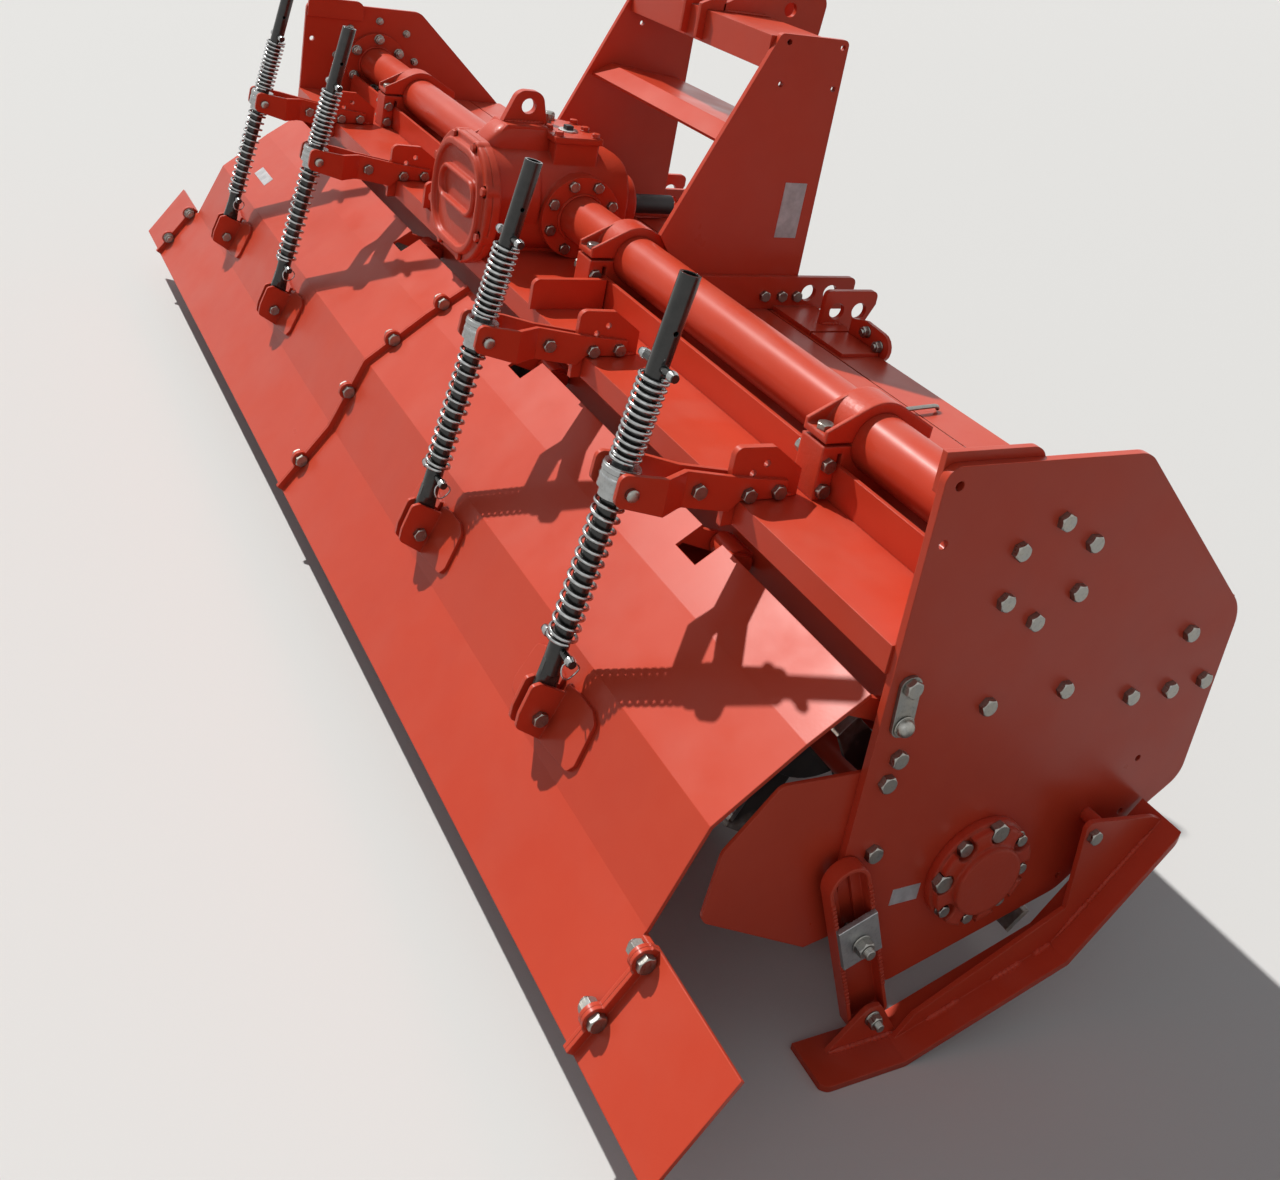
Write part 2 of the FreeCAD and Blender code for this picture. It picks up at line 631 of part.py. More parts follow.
lip_start = FLAP_PATH[3][1] - 6
full_sheet = prism(folded(FLAP_PATH, -S.sheet_gauge, 0), "X", SEAT, lip_end)
cutters = [block((panel_end, lip_end + 1), (-320, 20), (lip_start, hinge_z + 75))]
for x in KNUCKLES_X[2:]:
    half = KNUCKLE_HALF + 1
    cutters.append(block((x - half, x + half), (-42, 10), (hinge_z - 25, hinge_z + 75)))
panel_sheet = cut(full_sheet, cutters)
panel = fuse([panel_sheet] + seam(MIDDLE_BOLTS, SEAT, SEAT + 5)
             + seam(END_BOLTS, lip_end - 6, lip_end, 3) + hinge_ears())
pair("flap_panel", panel)

extension_sheet = prism(folded(FLAP_PATH[3:], -S.sheet_gauge, 0), "X", lip_end + SEAT,
                        S.half_width + 211)
pair("flap_extension", fuse([extension_sheet] + seam(END_BOLTS, lip_end + SEAT, lip_end + 6, 3)))

# Spring arms, swivels, rods and springs, at four places along the flap.
ARMS_X = [-2 * S.arm_spacing, -S.arm_spacing, S.arm_spacing, 2 * S.arm_spacing]
swivel = Vector(0, S.swivel_y, deck + S.swivel_above_deck)
pin = Vector(0, S.hinge_y - 312, hinge_z - 222)
swivel_axis = (swivel.y, swivel.z)
pin_axis = (pin.y, pin.z)
up = (swivel - pin).normalize()
lean = Rotation(Vector(0, 0, 1), up)
swivel_up = (swivel - pin).Length


def along_rod(x, distance):
    """Point on a rod's axis at a distance above the flap pin."""
    return tuple(Vector(x, 0, 0) + pin + up * distance)


# The clevis side plate stands on the flap's third facet, its wing lies on that facet.
facet_top = Vector(0, *FLAP_PATH[2])
facet_foot = Vector(0, *FLAP_PATH[3])
facet_up = (facet_top - facet_foot).normalize()
facet_turn = Rotation(Vector(0, 0, 1), facet_up)
facet_out = facet_turn.multVec(Vector(0, -1, 0))
ear_foot = facet_foot + facet_out * SEAT + facet_up * 20
ear_top = facet_foot + facet_out * SEAT + facet_up * 103
EAR = [(ear_foot.y, ear_foot.z)]
EAR += beside(pin_axis, [(-36, -12, 10), (-34, 12, 8), (-20, 57, 8), (-6, 60, 8)])
EAR += [(ear_top.y, ear_top.z)]
WING = [(8, 20), (24, 20), (102, 30, 8), (111, 46, 8), (104, 113, 10), (84, 123, 8), (41, 122),
        (8, 116)]
WING_GAUGE = 6.0

PIVOT_RADIUS = 10.0
PIN_REACH = 50.0
COLLAR_RADIUS = 28.0
STRAP_GAUGE = 8.0
STRAP_SIDE = beside(swivel_axis, [(-24, -18, 14), (-20, 31, 12), (57, 19), (107, 14), (197, -2),
                                  (290, -14), (290, 2 - S.swivel_above_deck),
                                  (208, 2 - S.swivel_above_deck), (191, -59), (96, -43),
                                  (60, -42)])
BRACKET = [(-SEAT, plate_foot), (108, plate_foot), (107, deck + 46), (52, deck + 85, 8),
           (-19, deck + 87, 14), (-20, deck - 44), (-SEAT, deck - 42)]
BRACKET_HALF = 6.0
BRACKET_HOLES = [(41, deck + 58, 6), (19, deck + 43, 6)]
LOWER_SPRING = (126.0, swivel_up - 29)
UPPER_SPRING = (swivel_up + 31, 556.0)
arms = []
swivels = []
rods = []
clevises = []
for x in ARMS_X:
    for side in (-1, 1):
        # A strap is a joggled plate: against the bracket in front, wide apart at the swivel.
        close = x + side * (BRACKET_HALF + SEAT)
        plan = [(x + side * 35, -240), (x + side * 35, -151), (close, -104), (close, 84)]
        plate = prism(folded(plan, 0, side * STRAP_GAUGE), "Z", deck - 30, deck + 90)
        strap = common(plate, prism(STRAP_SIDE, "X", x - 60, x + 60))
        hole = across(x - 60, x + 60, swivel_axis, PIVOT_RADIUS + RUN)
        arms.append(cut(strap, [hole]))
    arms.append(prism(BRACKET, "X", x - BRACKET_HALF, x + BRACKET_HALF, BRACKET_HOLES))
    collar = rod(along_rod(x, swivel_up - 12), along_rod(x, swivel_up + 26), COLLAR_RADIUS)
    neck = rod(along_rod(x, swivel_up - 26), along_rod(x, swivel_up), COLLAR_RADIUS - 6)
    trunnion = across(x - PIN_REACH, x + PIN_REACH, swivel_axis, PIVOT_RADIUS)
    guide = rod(along_rod(x, swivel_up - 40), along_rod(x, swivel_up + 40), S.rod_radius + RUN)
    swivels.append(cut(fuse([collar, neck, trunnion]), [guide]))
    bar = rod(along_rod(x, 72), along_rod(x, S.rod_top_length), "rod_radius")
    rod_bore = rod(along_rod(x, S.rod_top_length - 110), along_rod(x, S.rod_top_length + 1),
                   "rod_radius - 4")
    cross_hole = across(x, x + 20, along_rod(x, S.rod_top_length - 84)[1:], 4)
    cross_pins = [across(x - PIN_REACH, x + PIN_REACH, along_rod(x, distance)[1:], 6.5)
                  for distance in (114, 568)]
    flat = prism([(-20, -18, 16), (20, -18, 16), (16, 92), (-16, 92)], "X", x - 5, x + 5,
                 [(0, 0, 12)])
    flat.Placement = Placement(pin, lean)
    rods.append(fuse([cut(fuse([bar, flat]), [rod_bore, cross_hole])] + cross_pins))
    clevis = [across(x - 20, x + 20, pin_axis, 8)]
    for side in (-1, 1):
        clevis.append(prism(EAR, "X", *sorted((x + side * 8, x + side * 15))))
        wing = prism([(x + side * u, v, *r) for u, v, *r in WING], "Y", -SEAT - WING_GAUGE, -SEAT)
        wing.Placement = Placement(facet_foot, facet_turn).multiply(wing.Placement)
        clevis.append(wing)
    clevises.append(fuse(clevis))
node("spring_arms", group(arms))
node("swivels", group(swivels))
node("spring_rods", group(rods))


def coil(x, span, turns):
    """Spring of square wire, as a closed shell of flat faces round a rod."""
    mean = 22.0
    half = 2.8
    steps = 6
    stations = []
    total = int(turns * steps)
    rise = (span[1] - span[0] - 2 * half) / total
    for i in range(total + 1):
        angle = 2 * math.pi * i / steps
        out = Vector(math.cos(angle), math.sin(angle), 0)
        centre = out * mean + Vector(0, 0, span[0] + half + i * rise)
        stations.append([centre + out * (half * a) + Vector(0, 0, half * b)
                         for a, b in ((-1, -1), (1, -1), (1, 1), (-1, 1))])
    faces = []

    def face(*points):
        faces.append(Part.Face(Part.makePolygon(list(points) + [points[0]])))

    for here, there in zip(stations, stations[1:]):
        for j in range(4):
            k = (j + 1) % 4
            face(here[j], here[k], there[k])
            face(here[j], there[k], there[j])
    face(*reversed(stations[0]))
    face(*stations[-1])
    shape = Part.Solid(Part.Shell(faces))
    shape.Placement = Placement(Vector(x, pin.y, pin.z), lean)
    return shape


for label, span, turns in (("springs_lower", LOWER_SPRING, 14), ("springs_upper", UPPER_SPRING, 12)):
    coils = doc.addObject("Part::Feature", label)
    coils.Shape = Part.makeCompound([coil(x, span, turns) for x in ARMS_X])
    node(label, coils)
node("flap_clevises", group(clevises))

doc.recompute()
for obj in doc.Objects:
    bad = [flag for flag in obj.State if flag in ("Invalid", "Error")]
    if bad:
        raise RuntimeError(f"{obj.Label} ({obj.Name}) is {bad}")
for obj in nodes:
    shape = obj.Shape.translated(Vector(0, -S.depth_middle_y, 0))
    if shape.isNull() or not shape.isValid():
        raise RuntimeError(f"{obj.Label} has a bad shape")
    shape.exportStep(f"parts/{obj.Label}.step")
    print(obj.Label, len(shape.Solids), round(shape.Volume / 1000), [round(v) for v in (
        shape.BoundBox.XMin, shape.BoundBox.XMax, shape.BoundBox.YMin, shape.BoundBox.YMax,
        shape.BoundBox.ZMin, shape.BoundBox.ZMax)])
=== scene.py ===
"""Looks of the rotary tiller: paint, bolts, springs, welds and small fittings.

Lengths are in millimetres from the machine's own datum: X = 0 at the flap's middle seam and
positive to the right, Y = 0 at the end plates' rear edge and positive to the front, Z = 0 on the
ground. place() turns them into metres of the frame.
"""
import math
import random

import bmesh
import bpy
from mathutils import Matrix, Vector


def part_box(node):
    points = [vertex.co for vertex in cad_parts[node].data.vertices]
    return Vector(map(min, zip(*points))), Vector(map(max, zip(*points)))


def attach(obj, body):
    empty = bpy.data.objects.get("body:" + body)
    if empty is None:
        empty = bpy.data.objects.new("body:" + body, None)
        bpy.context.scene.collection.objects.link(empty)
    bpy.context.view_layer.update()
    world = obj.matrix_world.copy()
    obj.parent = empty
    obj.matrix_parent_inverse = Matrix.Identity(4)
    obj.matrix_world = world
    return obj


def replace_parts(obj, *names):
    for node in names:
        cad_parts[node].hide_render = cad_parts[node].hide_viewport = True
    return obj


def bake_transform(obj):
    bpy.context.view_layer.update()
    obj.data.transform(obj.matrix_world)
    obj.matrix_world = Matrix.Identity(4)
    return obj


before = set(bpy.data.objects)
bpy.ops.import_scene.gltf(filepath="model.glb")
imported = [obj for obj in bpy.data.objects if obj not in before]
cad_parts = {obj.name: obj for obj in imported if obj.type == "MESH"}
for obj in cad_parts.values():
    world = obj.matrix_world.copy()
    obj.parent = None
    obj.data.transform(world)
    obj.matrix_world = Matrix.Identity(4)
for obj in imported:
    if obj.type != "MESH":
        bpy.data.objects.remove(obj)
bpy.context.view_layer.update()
rear_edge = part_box("end_plate_right")[0].y
random.seed(7)

SIDES = (1, -1)
X_AXIS = Vector((1, 0, 0))
Y_AXIS = Vector((0, 1, 0))
Z_AXIS = Vector((0, 0, 1))

# Axes that run across the machine, in Y and Z.
TUBE = (225, 755)
ROTOR = (262, 258)
HINGE = (40, 545)
LINK_FOOT = (110, 54)
FLAP_PIN = (-272, 323)
SWIVEL = (-208, 706)

# Faces at the ends, in X. The left end mirrors the right one.
PLATE = 1500
STRAP = 1506
TUBE_FLANGE = 1472.7
CASE_FLANGE = 1514
CASE_COVER = 1574
SKID_LUG = 1536
SKID_CHEEK = 1548

# Parts in the middle.
ARMS_X = (-1093, -546.5, 546.5, 1093)
CLAMPS_X = (-1090, -480, 260, 1090)
CLAMP_TOP = 769
SADDLE_BOLTS_Y = 136
GEARBOX_X = -110
GEARBOX_FLANGES_X = (20.3, -240.3)
TOP_COVER = 920
HEADSTOCK_FOOT = (300, 324.3)

BOLT_CIRCLE = 76
WASHER = 2.6


def place(x, y, z):
    """Place in the frame, in metres."""
    return Vector((x / 1000, y / 1000 + rear_edge, z / 1000))


def angles(count, start=0.0):
    """Even angles round a circle. start is counted in steps."""
    return [2 * math.pi * (k + start) / count for k in range(count)]


def circle(centre, radius, count, start=0.0):
    """Even places on a circle, in the same two coordinates as its centre."""
    return [(centre[0] + radius * math.cos(a), centre[1] + radius * math.sin(a))
            for a in angles(count, start)]


def squared(value, power):
    """Cosine or sine that goes out towards the corners of a square as the power falls."""
    return math.copysign(abs(value) ** power, value)


# Finishes. Each is a node network that follows the place on the machine.


class Finish:
    """A procedural material in the making."""

    def __init__(self, name):
        self.material = bpy.data.materials.new(name)
        self.material.use_nodes = True
        self.tree = self.material.node_tree
        self.shader = self.tree.nodes["Principled BSDF"]
        self.where = self.add("ShaderNodeTexCoord").outputs["Object"]
        self.normal = None

    def add(self, kind, settings=None, **inputs):
        """New node. settings names its options, and inputs its sockets."""
        node = self.tree.nodes.new(kind)
        for key, value in (settings or {}).items():
            setattr(node, key, value)
        for key, value in inputs.items():
            self.feed(node.inputs[key.replace("_", " ")], value)
        return node

    def feed(self, socket, value):
        """Link a socket, or set it when the value is plain."""
        if isinstance(value, bpy.types.NodeSocket):
            self.tree.links.new(value, socket)
        else:
            socket.default_value = value

    def combine(self, kind, operation, values, result="Value"):
        """Math node of a kind, fed with values in order."""
        node = self.add(kind, {"operation": operation})
        for socket, value in zip(node.inputs, values):
            self.feed(socket, value)
        return node.outputs[result]

    def noise(self, scale, detail, stretch=None):
        """Cloudy pattern from 0 to 1."""
        where = self.where
        if stretch:
            where = self.add("ShaderNodeMapping", Vector=where, Scale=stretch).outputs["Vector"]
        node = self.add("ShaderNodeTexNoise", Vector=where, Scale=scale, Detail=detail)
        return node.outputs["Fac"]

    def streaks(self):
        """Fine lines round a rod or across a plate."""
        return self.noise(120, 3, (1.0, 14.0, 1.0))

    def spread(self, value, low, high, to_low=0.0, to_high=1.0):
        """Value moved from the range low to high into another range."""
        node = self.add("ShaderNodeMapRange", Value=value)
        for key, number in (("From Min", low), ("From Max", high),
                            ("To Min", to_low), ("To Max", to_high)):
            node.inputs[key].default_value = number
        return node.outputs["Result"]

    def times(self, a, b):
        """Product of two values."""
        return self.combine("ShaderNodeMath", "MULTIPLY", (a, b))

    def mix(self, share, a, b):
        """Colour a, turning into colour b as the share goes from 0 to 1."""
        node = self.add("ShaderNodeMix", {"data_type": "RGBA"})
        self.feed(node.inputs[0], share)
        for socket, value in ((node.inputs[6], a), (node.inputs[7], b)):
            self.feed(socket, value if isinstance(value, bpy.types.NodeSocket) else (*value, 1))
        return node.outputs[2]

    def mix_value(self, share, a, b):
        """The same for plain values."""
        node = self.add("ShaderNodeMix")
        self.feed(node.inputs[0], share)
        self.feed(node.inputs[2], a)
        self.feed(node.inputs[3], b)
        return node.outputs[0]

    def edges(self, radius):
        """1 on sharp edges, 0 on flat surfaces. The rounded normal also softens the edges."""
        rounded = self.add("ShaderNodeBevel", {"samples": 4}, Radius=radius).outputs["Normal"]
        flat = self.add("ShaderNodeNewGeometry").outputs["Normal"]
        self.normal = rounded
        likeness = self.combine("ShaderNodeVectorMath", "DOT_PRODUCT", (rounded, flat))
        return self.spread(likeness, 0.98, 0.75)

    def upward(self):
        """1 on surfaces that face up, where dust settles."""
        normal = self.add("ShaderNodeNewGeometry").outputs["Normal"]
        split = self.add("ShaderNodeSeparateXYZ", Vector=normal)
        return self.spread(split.outputs["Z"], 0.35, 0.95)

    def hollows(self, distance):
        """1 in corners and gaps, 0 in the open. The finishes darken by it to paint shade there."""
        node = self.add("ShaderNodeAmbientOcclusion", {"samples": 4}, Distance=distance)
        return self.spread(node.outputs["AO"], 0.25, 0.85, 1.0, 0.0)

    def bump(self, height, strength, distance):
        """Add a bump on top of the ones so far."""
        node = self.add("ShaderNodeBump", Height=height, Strength=strength, Distance=distance)
        if self.normal is not None:
            self.feed(node.inputs["Normal"], self.normal)
        self.normal = node.outputs["Normal"]

    def done(self, colour, roughness, metallic=0.0, **rest):
        """The finished material. rest names other inputs of the shader."""
        self.feed(self.shader.inputs["Base Color"], colour)
        self.feed(self.shader.inputs["Roughness"], roughness)
        self.feed(self.shader.inputs["Metallic"], metallic)
        for key, value in rest.items():
            self.shader.inputs[key.replace("_", " ")].default_value = value
        if self.normal is not None:
            self.feed(self.shader.inputs["Normal"], self.normal)
        return self.material


def paint(name, colour, deep, pale, grain=0.0, softness=0.0022):
    """Thick semi gloss paint. Castings have more grain and softer edges than sheet."""
    f = Finish(name)
    edge = f.times(f.edges(softness), f.spread(f.noise(70, 4), 0.35, 0.75, 0.15, 1.0))

    # The tone drifts over the sheets, and painted shade darkens it in corners and gaps.
    drift = f.spread(f.noise(2.4, 4), 0.3, 0.7, 0.0, 0.45)
    mottle = f.spread(f.noise(26, 5), 0.35, 0.8, 0.0, 0.12)
    tone = f.mix(drift, colour, deep)
    tone = f.mix(mottle, tone, pale)
    tone = f.mix(f.times(f.hollows(0.045), 0.5), tone, tuple(0.42 * c for c in deep))

    # Dust lies on top, the edges are pale, and small chips show on them.
    dust = f.times(f.upward(), f.spread(f.noise(7, 6), 0.45, 0.85, 0.0, 0.13))
    tone = f.mix(dust, tone, (0.62, 0.42, 0.36))
    tone = f.mix(f.times(edge, 0.55), tone, tuple(min(1.0, 1.25 * c + 0.03) for c in pale))
    chips = f.times(edge, f.spread(f.noise(240, 3), 0.66, 0.70))
    tone = f.mix(chips, tone, (0.16, 0.10, 0.08))

    rough = f.spread(f.noise(11, 5), 0.25, 0.75, 0.27, 0.42)
    rough = f.mix_value(dust, rough, 0.75)
    f.bump(f.noise(3.1, 2), 0.10, 0.006)
    f.bump(f.noise(330, 2), 0.10, 0.0004)
    if grain:
        f.bump(f.noise(150, 5), grain, 0.0012)
    return f.done(tone, rough, Coat_Weight=0.05, Coat_Roughness=0.12, Specular_IOR_Level=0.22)


def metal(name, colour, tint, rough, scratch=0.25, dull_and_shade=(0.30, 0.29, 0.27)):
    """Plated or bare steel with a drifting tint, fine scratches, dull patches and painted shade in
    its hollows.
    """
    f = Finish(name)
    edge = f.edges(0.0008)
    tone = f.mix(f.spread(f.noise(55, 4), 0.3, 0.7), colour, tint)
    # Painted shade in the hollows: a darker share of the dull colour.
    tone = f.mix(f.times(f.hollows(0.012), 0.55), tone, tuple(0.35 * c for c in dull_and_shade))
    tone = f.mix(f.spread(f.noise(210, 5), 0.52, 0.78, 0.0, 0.5), tone, dull_and_shade)
    tone = f.mix(f.times(edge, 0.5), tone, tuple(min(1.0, 1.2 * c) for c in colour))
    lines = f.streaks()
    roughness = f.spread(lines, 0.3, 0.7, rough * 0.75, rough * 1.35)
    f.bump(lines, scratch, 0.00025)
    f.bump(f.noise(420, 3), 0.12, 0.0002)
    return f.done(tone, roughness, 1.0)


def tube_with_painted_reflection(name, colour, tint):
    """Polished tube, nearly black straight on and bright where it turns away. The near black colour
    is a painted reflection of dark surroundings.
    """
    f = Finish(name)
    f.edges(0.0012)
    tone = f.mix(f.spread(f.noise(45, 4), 0.3, 0.7), colour, tint)
    lines = f.streaks()
    f.bump(lines, 0.12, 0.0002)
    return f.done(tone, f.spread(lines, 0.3, 0.7, 0.12, 0.20), 0.0, IOR=1.52)


def worn_blade(name):
    """Black paint on the shanks, rubbed down to bare steel towards the tips."""
    f = Finish(name)
    vector = "ShaderNodeVectorMath"
    from_axis = f.combine(vector, "SUBTRACT", (f.where, place(0, *ROTOR)), "Vector")
    outwards = f.combine(vector, "MULTIPLY", (from_axis, (0, 1, 1)), "Vector")
    distance = f.combine(vector, "LENGTH", (outwards,))
    wander = f.spread(f.noise(18, 5), 0.2, 0.8, -0.03, 0.03)
    reach = f.combine("ShaderNodeMath", "ADD", (distance, wander))
    bare = f.spread(reach, 0.222, 0.245)
    edge = f.edges(0.002)
    tone = f.mix(f.spread(f.noise(30, 4), 0.3, 0.7), (0.020, 0.020, 0.022), (0.05, 0.045, 0.042))
    steel = f.mix(f.spread(f.noise(80, 5), 0.3, 0.7), (0.42, 0.41, 0.40), (0.25, 0.20, 0.16))
    tone = f.mix(f.times(edge, 0.7), tone, (0.30, 0.29, 0.28))
    tone = f.mix(bare, tone, steel)
    rough = f.spread(f.noise(60, 5), 0.3, 0.7, 0.34, 0.58)
    f.bump(f.noise(90, 5), 0.25, 0.0008)
    return f.done(tone, rough, f.times(bare, 0.9))


def plastic(name, colour, rough):
    """Plastic with a fine grain and paler edges."""
    f = Finish(name)
    edge = f.edges(0.0015)
    tone = f.mix(f.spread(f.noise(40, 4), 0.3, 0.7), colour, tuple(1.7 * c for c in colour))
    tone = f.mix(f.times(edge, 0.4), tone, tuple(3.0 * c + 0.02 for c in colour))
    f.bump(f.noise(520, 2), 0.25, 0.0003)
    return f.done(tone, f.spread(f.noise(25, 4), 0.3, 0.7, rough * 0.85, rough * 1.2))


RED = (0.690, 0.070, 0.030)
DEEP_RED = (0.580, 0.050, 0.022)
PALE_RED = (0.760, 0.115, 0.055)
red_paint = paint("red_paint", RED, DEEP_RED, PALE_RED)
cast_paint = paint("cast_paint", RED, DEEP_RED, PALE_RED, grain=0.35, softness=0.007)
zinc = metal("zinc_plate", (0.27, 0.275, 0.265), (0.33, 0.31, 0.27), 0.33,
             dull_and_shade=(0.16, 0.15, 0.14))
bright = metal("bright_plate", (0.40, 0.41, 0.41), (0.34, 0.35, 0.35), 0.22, 0.15,
               (0.20, 0.19, 0.18))
# The rods' near black colours are a painted reflection of dark surroundings, not the chrome's own
# colour.
chrome = tube_with_painted_reflection("chrome_painted_dark_reflection", (0.016, 0.018, 0.017), (0.040, 0.040, 0.037))
raw_steel = metal("raw_steel", (0.27, 0.28, 0.29), (0.35, 0.35, 0.35), 0.45, 0.5,
                  (0.17, 0.16, 0.15))
machined = metal("machined_steel", (0.55, 0.55, 0.54), (0.46, 0.45, 0.42), 0.30, 0.35)
blade_steel = worn_blade("worn_blade")
black_plastic = plastic("black_plastic", (0.014, 0.014, 0.015), 0.5)
label_film = plastic("label_film", (0.42, 0.42, 0.43), 0.36)

CAST_NODES = ("gearbox_case", "gearbox_rear_cover", "gearbox_top_cover", "side_gear_case",
              "rotor_bearing", "tube_clamps")
OTHER_FINISH = {
    "rotor_blades": blade_steel, "input_shaft": machined, "shaft_cap": black_plastic,
    "swivels": bright, "spring_rods": chrome, "springs_lower": bright, "springs_upper": bright,
    "end_strap_right": zinc, "end_strap_left": zinc,
}
for label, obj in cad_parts.items():
    finish = OTHER_FINISH.get(label, cast_paint if label in CAST_NODES else red_paint)
    obj.data.materials.clear()
    obj.data.materials.append(finish)


# Shapes, gathered in one mesh per piece.


def turn_to(axis, up=None):
    """Rotation that takes +Z to axis, and +X as near to up as it goes."""
    axis = axis.normalized()
    if up is None:
        up = Z_AXIS if abs(axis.z) < 0.9 else Y_AXIS
    side = (up - axis * up.dot(axis)).normalized()
    return Matrix((side, axis.cross(side), axis)).transposed()


class Piece:
    """One mesh in the making that rides on a body. Small shapes are given in millimetres."""

    def __init__(self, name, body, finish, slot="painted"):
        self.name = name
        self.body = body
        self.finish = finish
        self.slot = slot
        self.mesh = bmesh.new()

    def rings(self, rings, loop=False):
        """Skin between rings of points, closed at both ends or joined up in a loop."""
        rows = [[self.mesh.verts.new(p) for p in ring] for ring in rings]
        pairs = list(zip(rows, rows[1:]))
        if loop:
            pairs.append((rows[-1], rows[0]))
        count = len(rows[0])
        for low, high in pairs:
            for i in range(count):
                j = (i + 1) % count
                self.mesh.faces.new((low[i], low[j], high[j], high[i]))
        if not loop:
            self.mesh.faces.new(rows[0][::-1])
            self.mesh.faces.new(rows[-1])

    def lathe(self, at, axis, profile, steps=20):
        """Turned shape. The profile is (radius, height), from the foot to the top."""
        turn = turn_to(axis)
        self.rings([[at + turn @ Vector((*p, height)) / 1000
                     for p in circle((0, 0), radius, steps)] for radius, height in profile])

    def prism(self, at, axis, outline, height, up, chamfer):
        """Plate of an outline, with a small chamfer round its top."""
        turn = turn_to(axis, up)
        middle = Vector((sum(p[0] for p in outline), sum(p[1] for p in outline))) / len(outline)
        rings = []
        for inset, level in ((0, 0), (0, height - chamfer), (chamfer, height)):
            ring = []
            for p in outline:
                flat = Vector(p) - middle
                flat = middle + flat * max(0.0, 1 - inset / max(flat.length, 1e-6))
                ring.append(at + turn @ Vector((flat.x, flat.y, level)) / 1000)
            rings.append(ring)
        self.rings(rings)

    def block(self, at, axis, up, size):
        """Small block on its foot. size is (along up, across, along axis)."""
        half_u, half_v = size[0] / 2, size[1] / 2
        outline = ((-half_u, -half_v), (half_u, -half_v), (half_u, half_v), (-half_u, half_v))
        self.prism(at, axis, outline, size[2], up, min(0.8, size[2] / 3))

    def sweep(self, points, radius, sides, loop=False):
        """Round rod along points. radius is one number, or a list with one for each point."""
        radii = radius if isinstance(radius, list) else [radius] * len(points)
        side = None
        rings = []
        for i, p in enumerate(points):
            if loop:
                along = points[(i + 1) % len(points)] - points[i - 1]
            else:
                along = points[min(i + 1, len(points) - 1)] - points[max(i - 1, 0)]
            along.normalize()
            if side is None:
                side = along.orthogonal().normalized()
            side = (side - along * side.dot(along)).normalized()
            other = along.cross(side)
            rings.append([p + (side * math.cos(a) + other * math.sin(a)) * radii[i] / 1000
                          for a in angles(sides)])
        self.rings(rings, loop)

    def weld(self, start, end, radius):
        """Bead of weld with the ripples of its runs."""
        length = (end - start).length * 1000
        steps = max(6, int(length / 2.6))
        points, radii = [], []
        for i in range(steps + 1):
            share = i / steps
            jitter = Vector([random.uniform(-1, 1) for _ in range(3)])
            points.append(start.lerp(end, share) + jitter * 0.00035)
            taper = min(1.0, 6 * share + 0.35, 6 * (1 - share) + 0.35)
            radii.append(taper * radius * (1 + 0.16 * math.sin(i * 2.1)
                                           + random.uniform(-0.07, 0.07)))
        self.sweep(points, radii, 7)

    def washer(self, at, axis, radius, thick=WASHER):
        """Flat washer with rounded rims."""
        self.lathe(at, axis, [(radius - 0.3, 0), (radius, 0.5), (radius, thick - 0.7),
                              (radius - 0.7, thick), (0.5 * radius, thick)], 24)

    def hexagon(self, at, axis, across, height, turn_by):
        """Hexagon head or nut. Its chamfer starts lowest at the corners."""
        turn = turn_to(axis) @ Matrix.Rotation(turn_by, 3, "Z")
        flat = across / 2
        corner = flat / math.cos(math.pi / 6)
        rings = []
        for level in ("foot", "chamfer", "top"):
            ring = []
            for a in angles(24):
                off = abs((a + math.pi / 6) % (math.pi / 3) - math.pi / 6)
                radius = flat / math.cos(math.pi / 6 - off)
                rise = 0.0
                if level == "chamfer":
                    rise = 0.80 * height
                    rise += 0.16 * height * (1 - (radius - flat) / (corner - flat))
                elif level == "top":
                    rise = height
                    radius = 0.95 * flat
                ring.append(at + turn @ Vector((radius * math.cos(a), radius * math.sin(a),
                                                rise)) / 1000)
            rings.append(ring)
        self.rings(rings)

    def bolt(self, at, axis, across=24.0, washer=False):
        """Hexagon bolt head, turned at random as fitted by hand, with or without a washer."""
        foot = 0.0
        if washer:
            self.washer(at, axis, 0.63 * across)
            foot = WASHER
        self.hexagon(at + axis * foot / 1000, axis, across, 0.42 * across, random.uniform(0, 1.05))

    def nut(self, at, axis, across, stud):
        """Nut on its washer with the threaded end standing out of it."""
        self.washer(at, axis, 0.63 * across)
        height = 0.54 * across
        self.hexagon(at + axis * WASHER / 1000, axis, across, height, random.uniform(0, 1.05))
        top = WASHER + height
        radius = across / 3
        profile = [(radius, top - 1)]
        for i in range(int(stud / 2)):
            profile += [(radius, top + 2 * i), (0.9 * radius, top + 2 * i + 1)]
        profile += [(radius, top + stud - 1), (0.86 * radius, top + stud)]
        self.lathe(at, axis, profile, 16)

    def dome(self, at, axis, radius, height):
        """Rounded button."""
        profile = [(radius, 0)]
        for i in range(1, 6):
            a = math.pi / 2 * i / 6
            profile.append((radius * math.cos(a) ** 0.7, height * math.sin(a)))
        self.lathe(at, axis, profile, 24)

    def done(self):
        """Make the object, and let it ride on its body."""
        data = bpy.data.meshes.new(self.name)
        bmesh.ops.recalc_face_normals(self.mesh, faces=self.mesh.faces)
        self.mesh.to_mesh(data)
        self.mesh.free()
        data.materials.append(self.finish)
        obj = bpy.data.objects.new(self.name, data)
        bpy.context.scene.collection.objects.link(obj)
        for polygon in data.polygons:
            polygon.use_smooth = True
        data.set_sharp_from_angle(angle=math.radians(32))
        if self.body:
            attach(obj, self.body)
        return obj


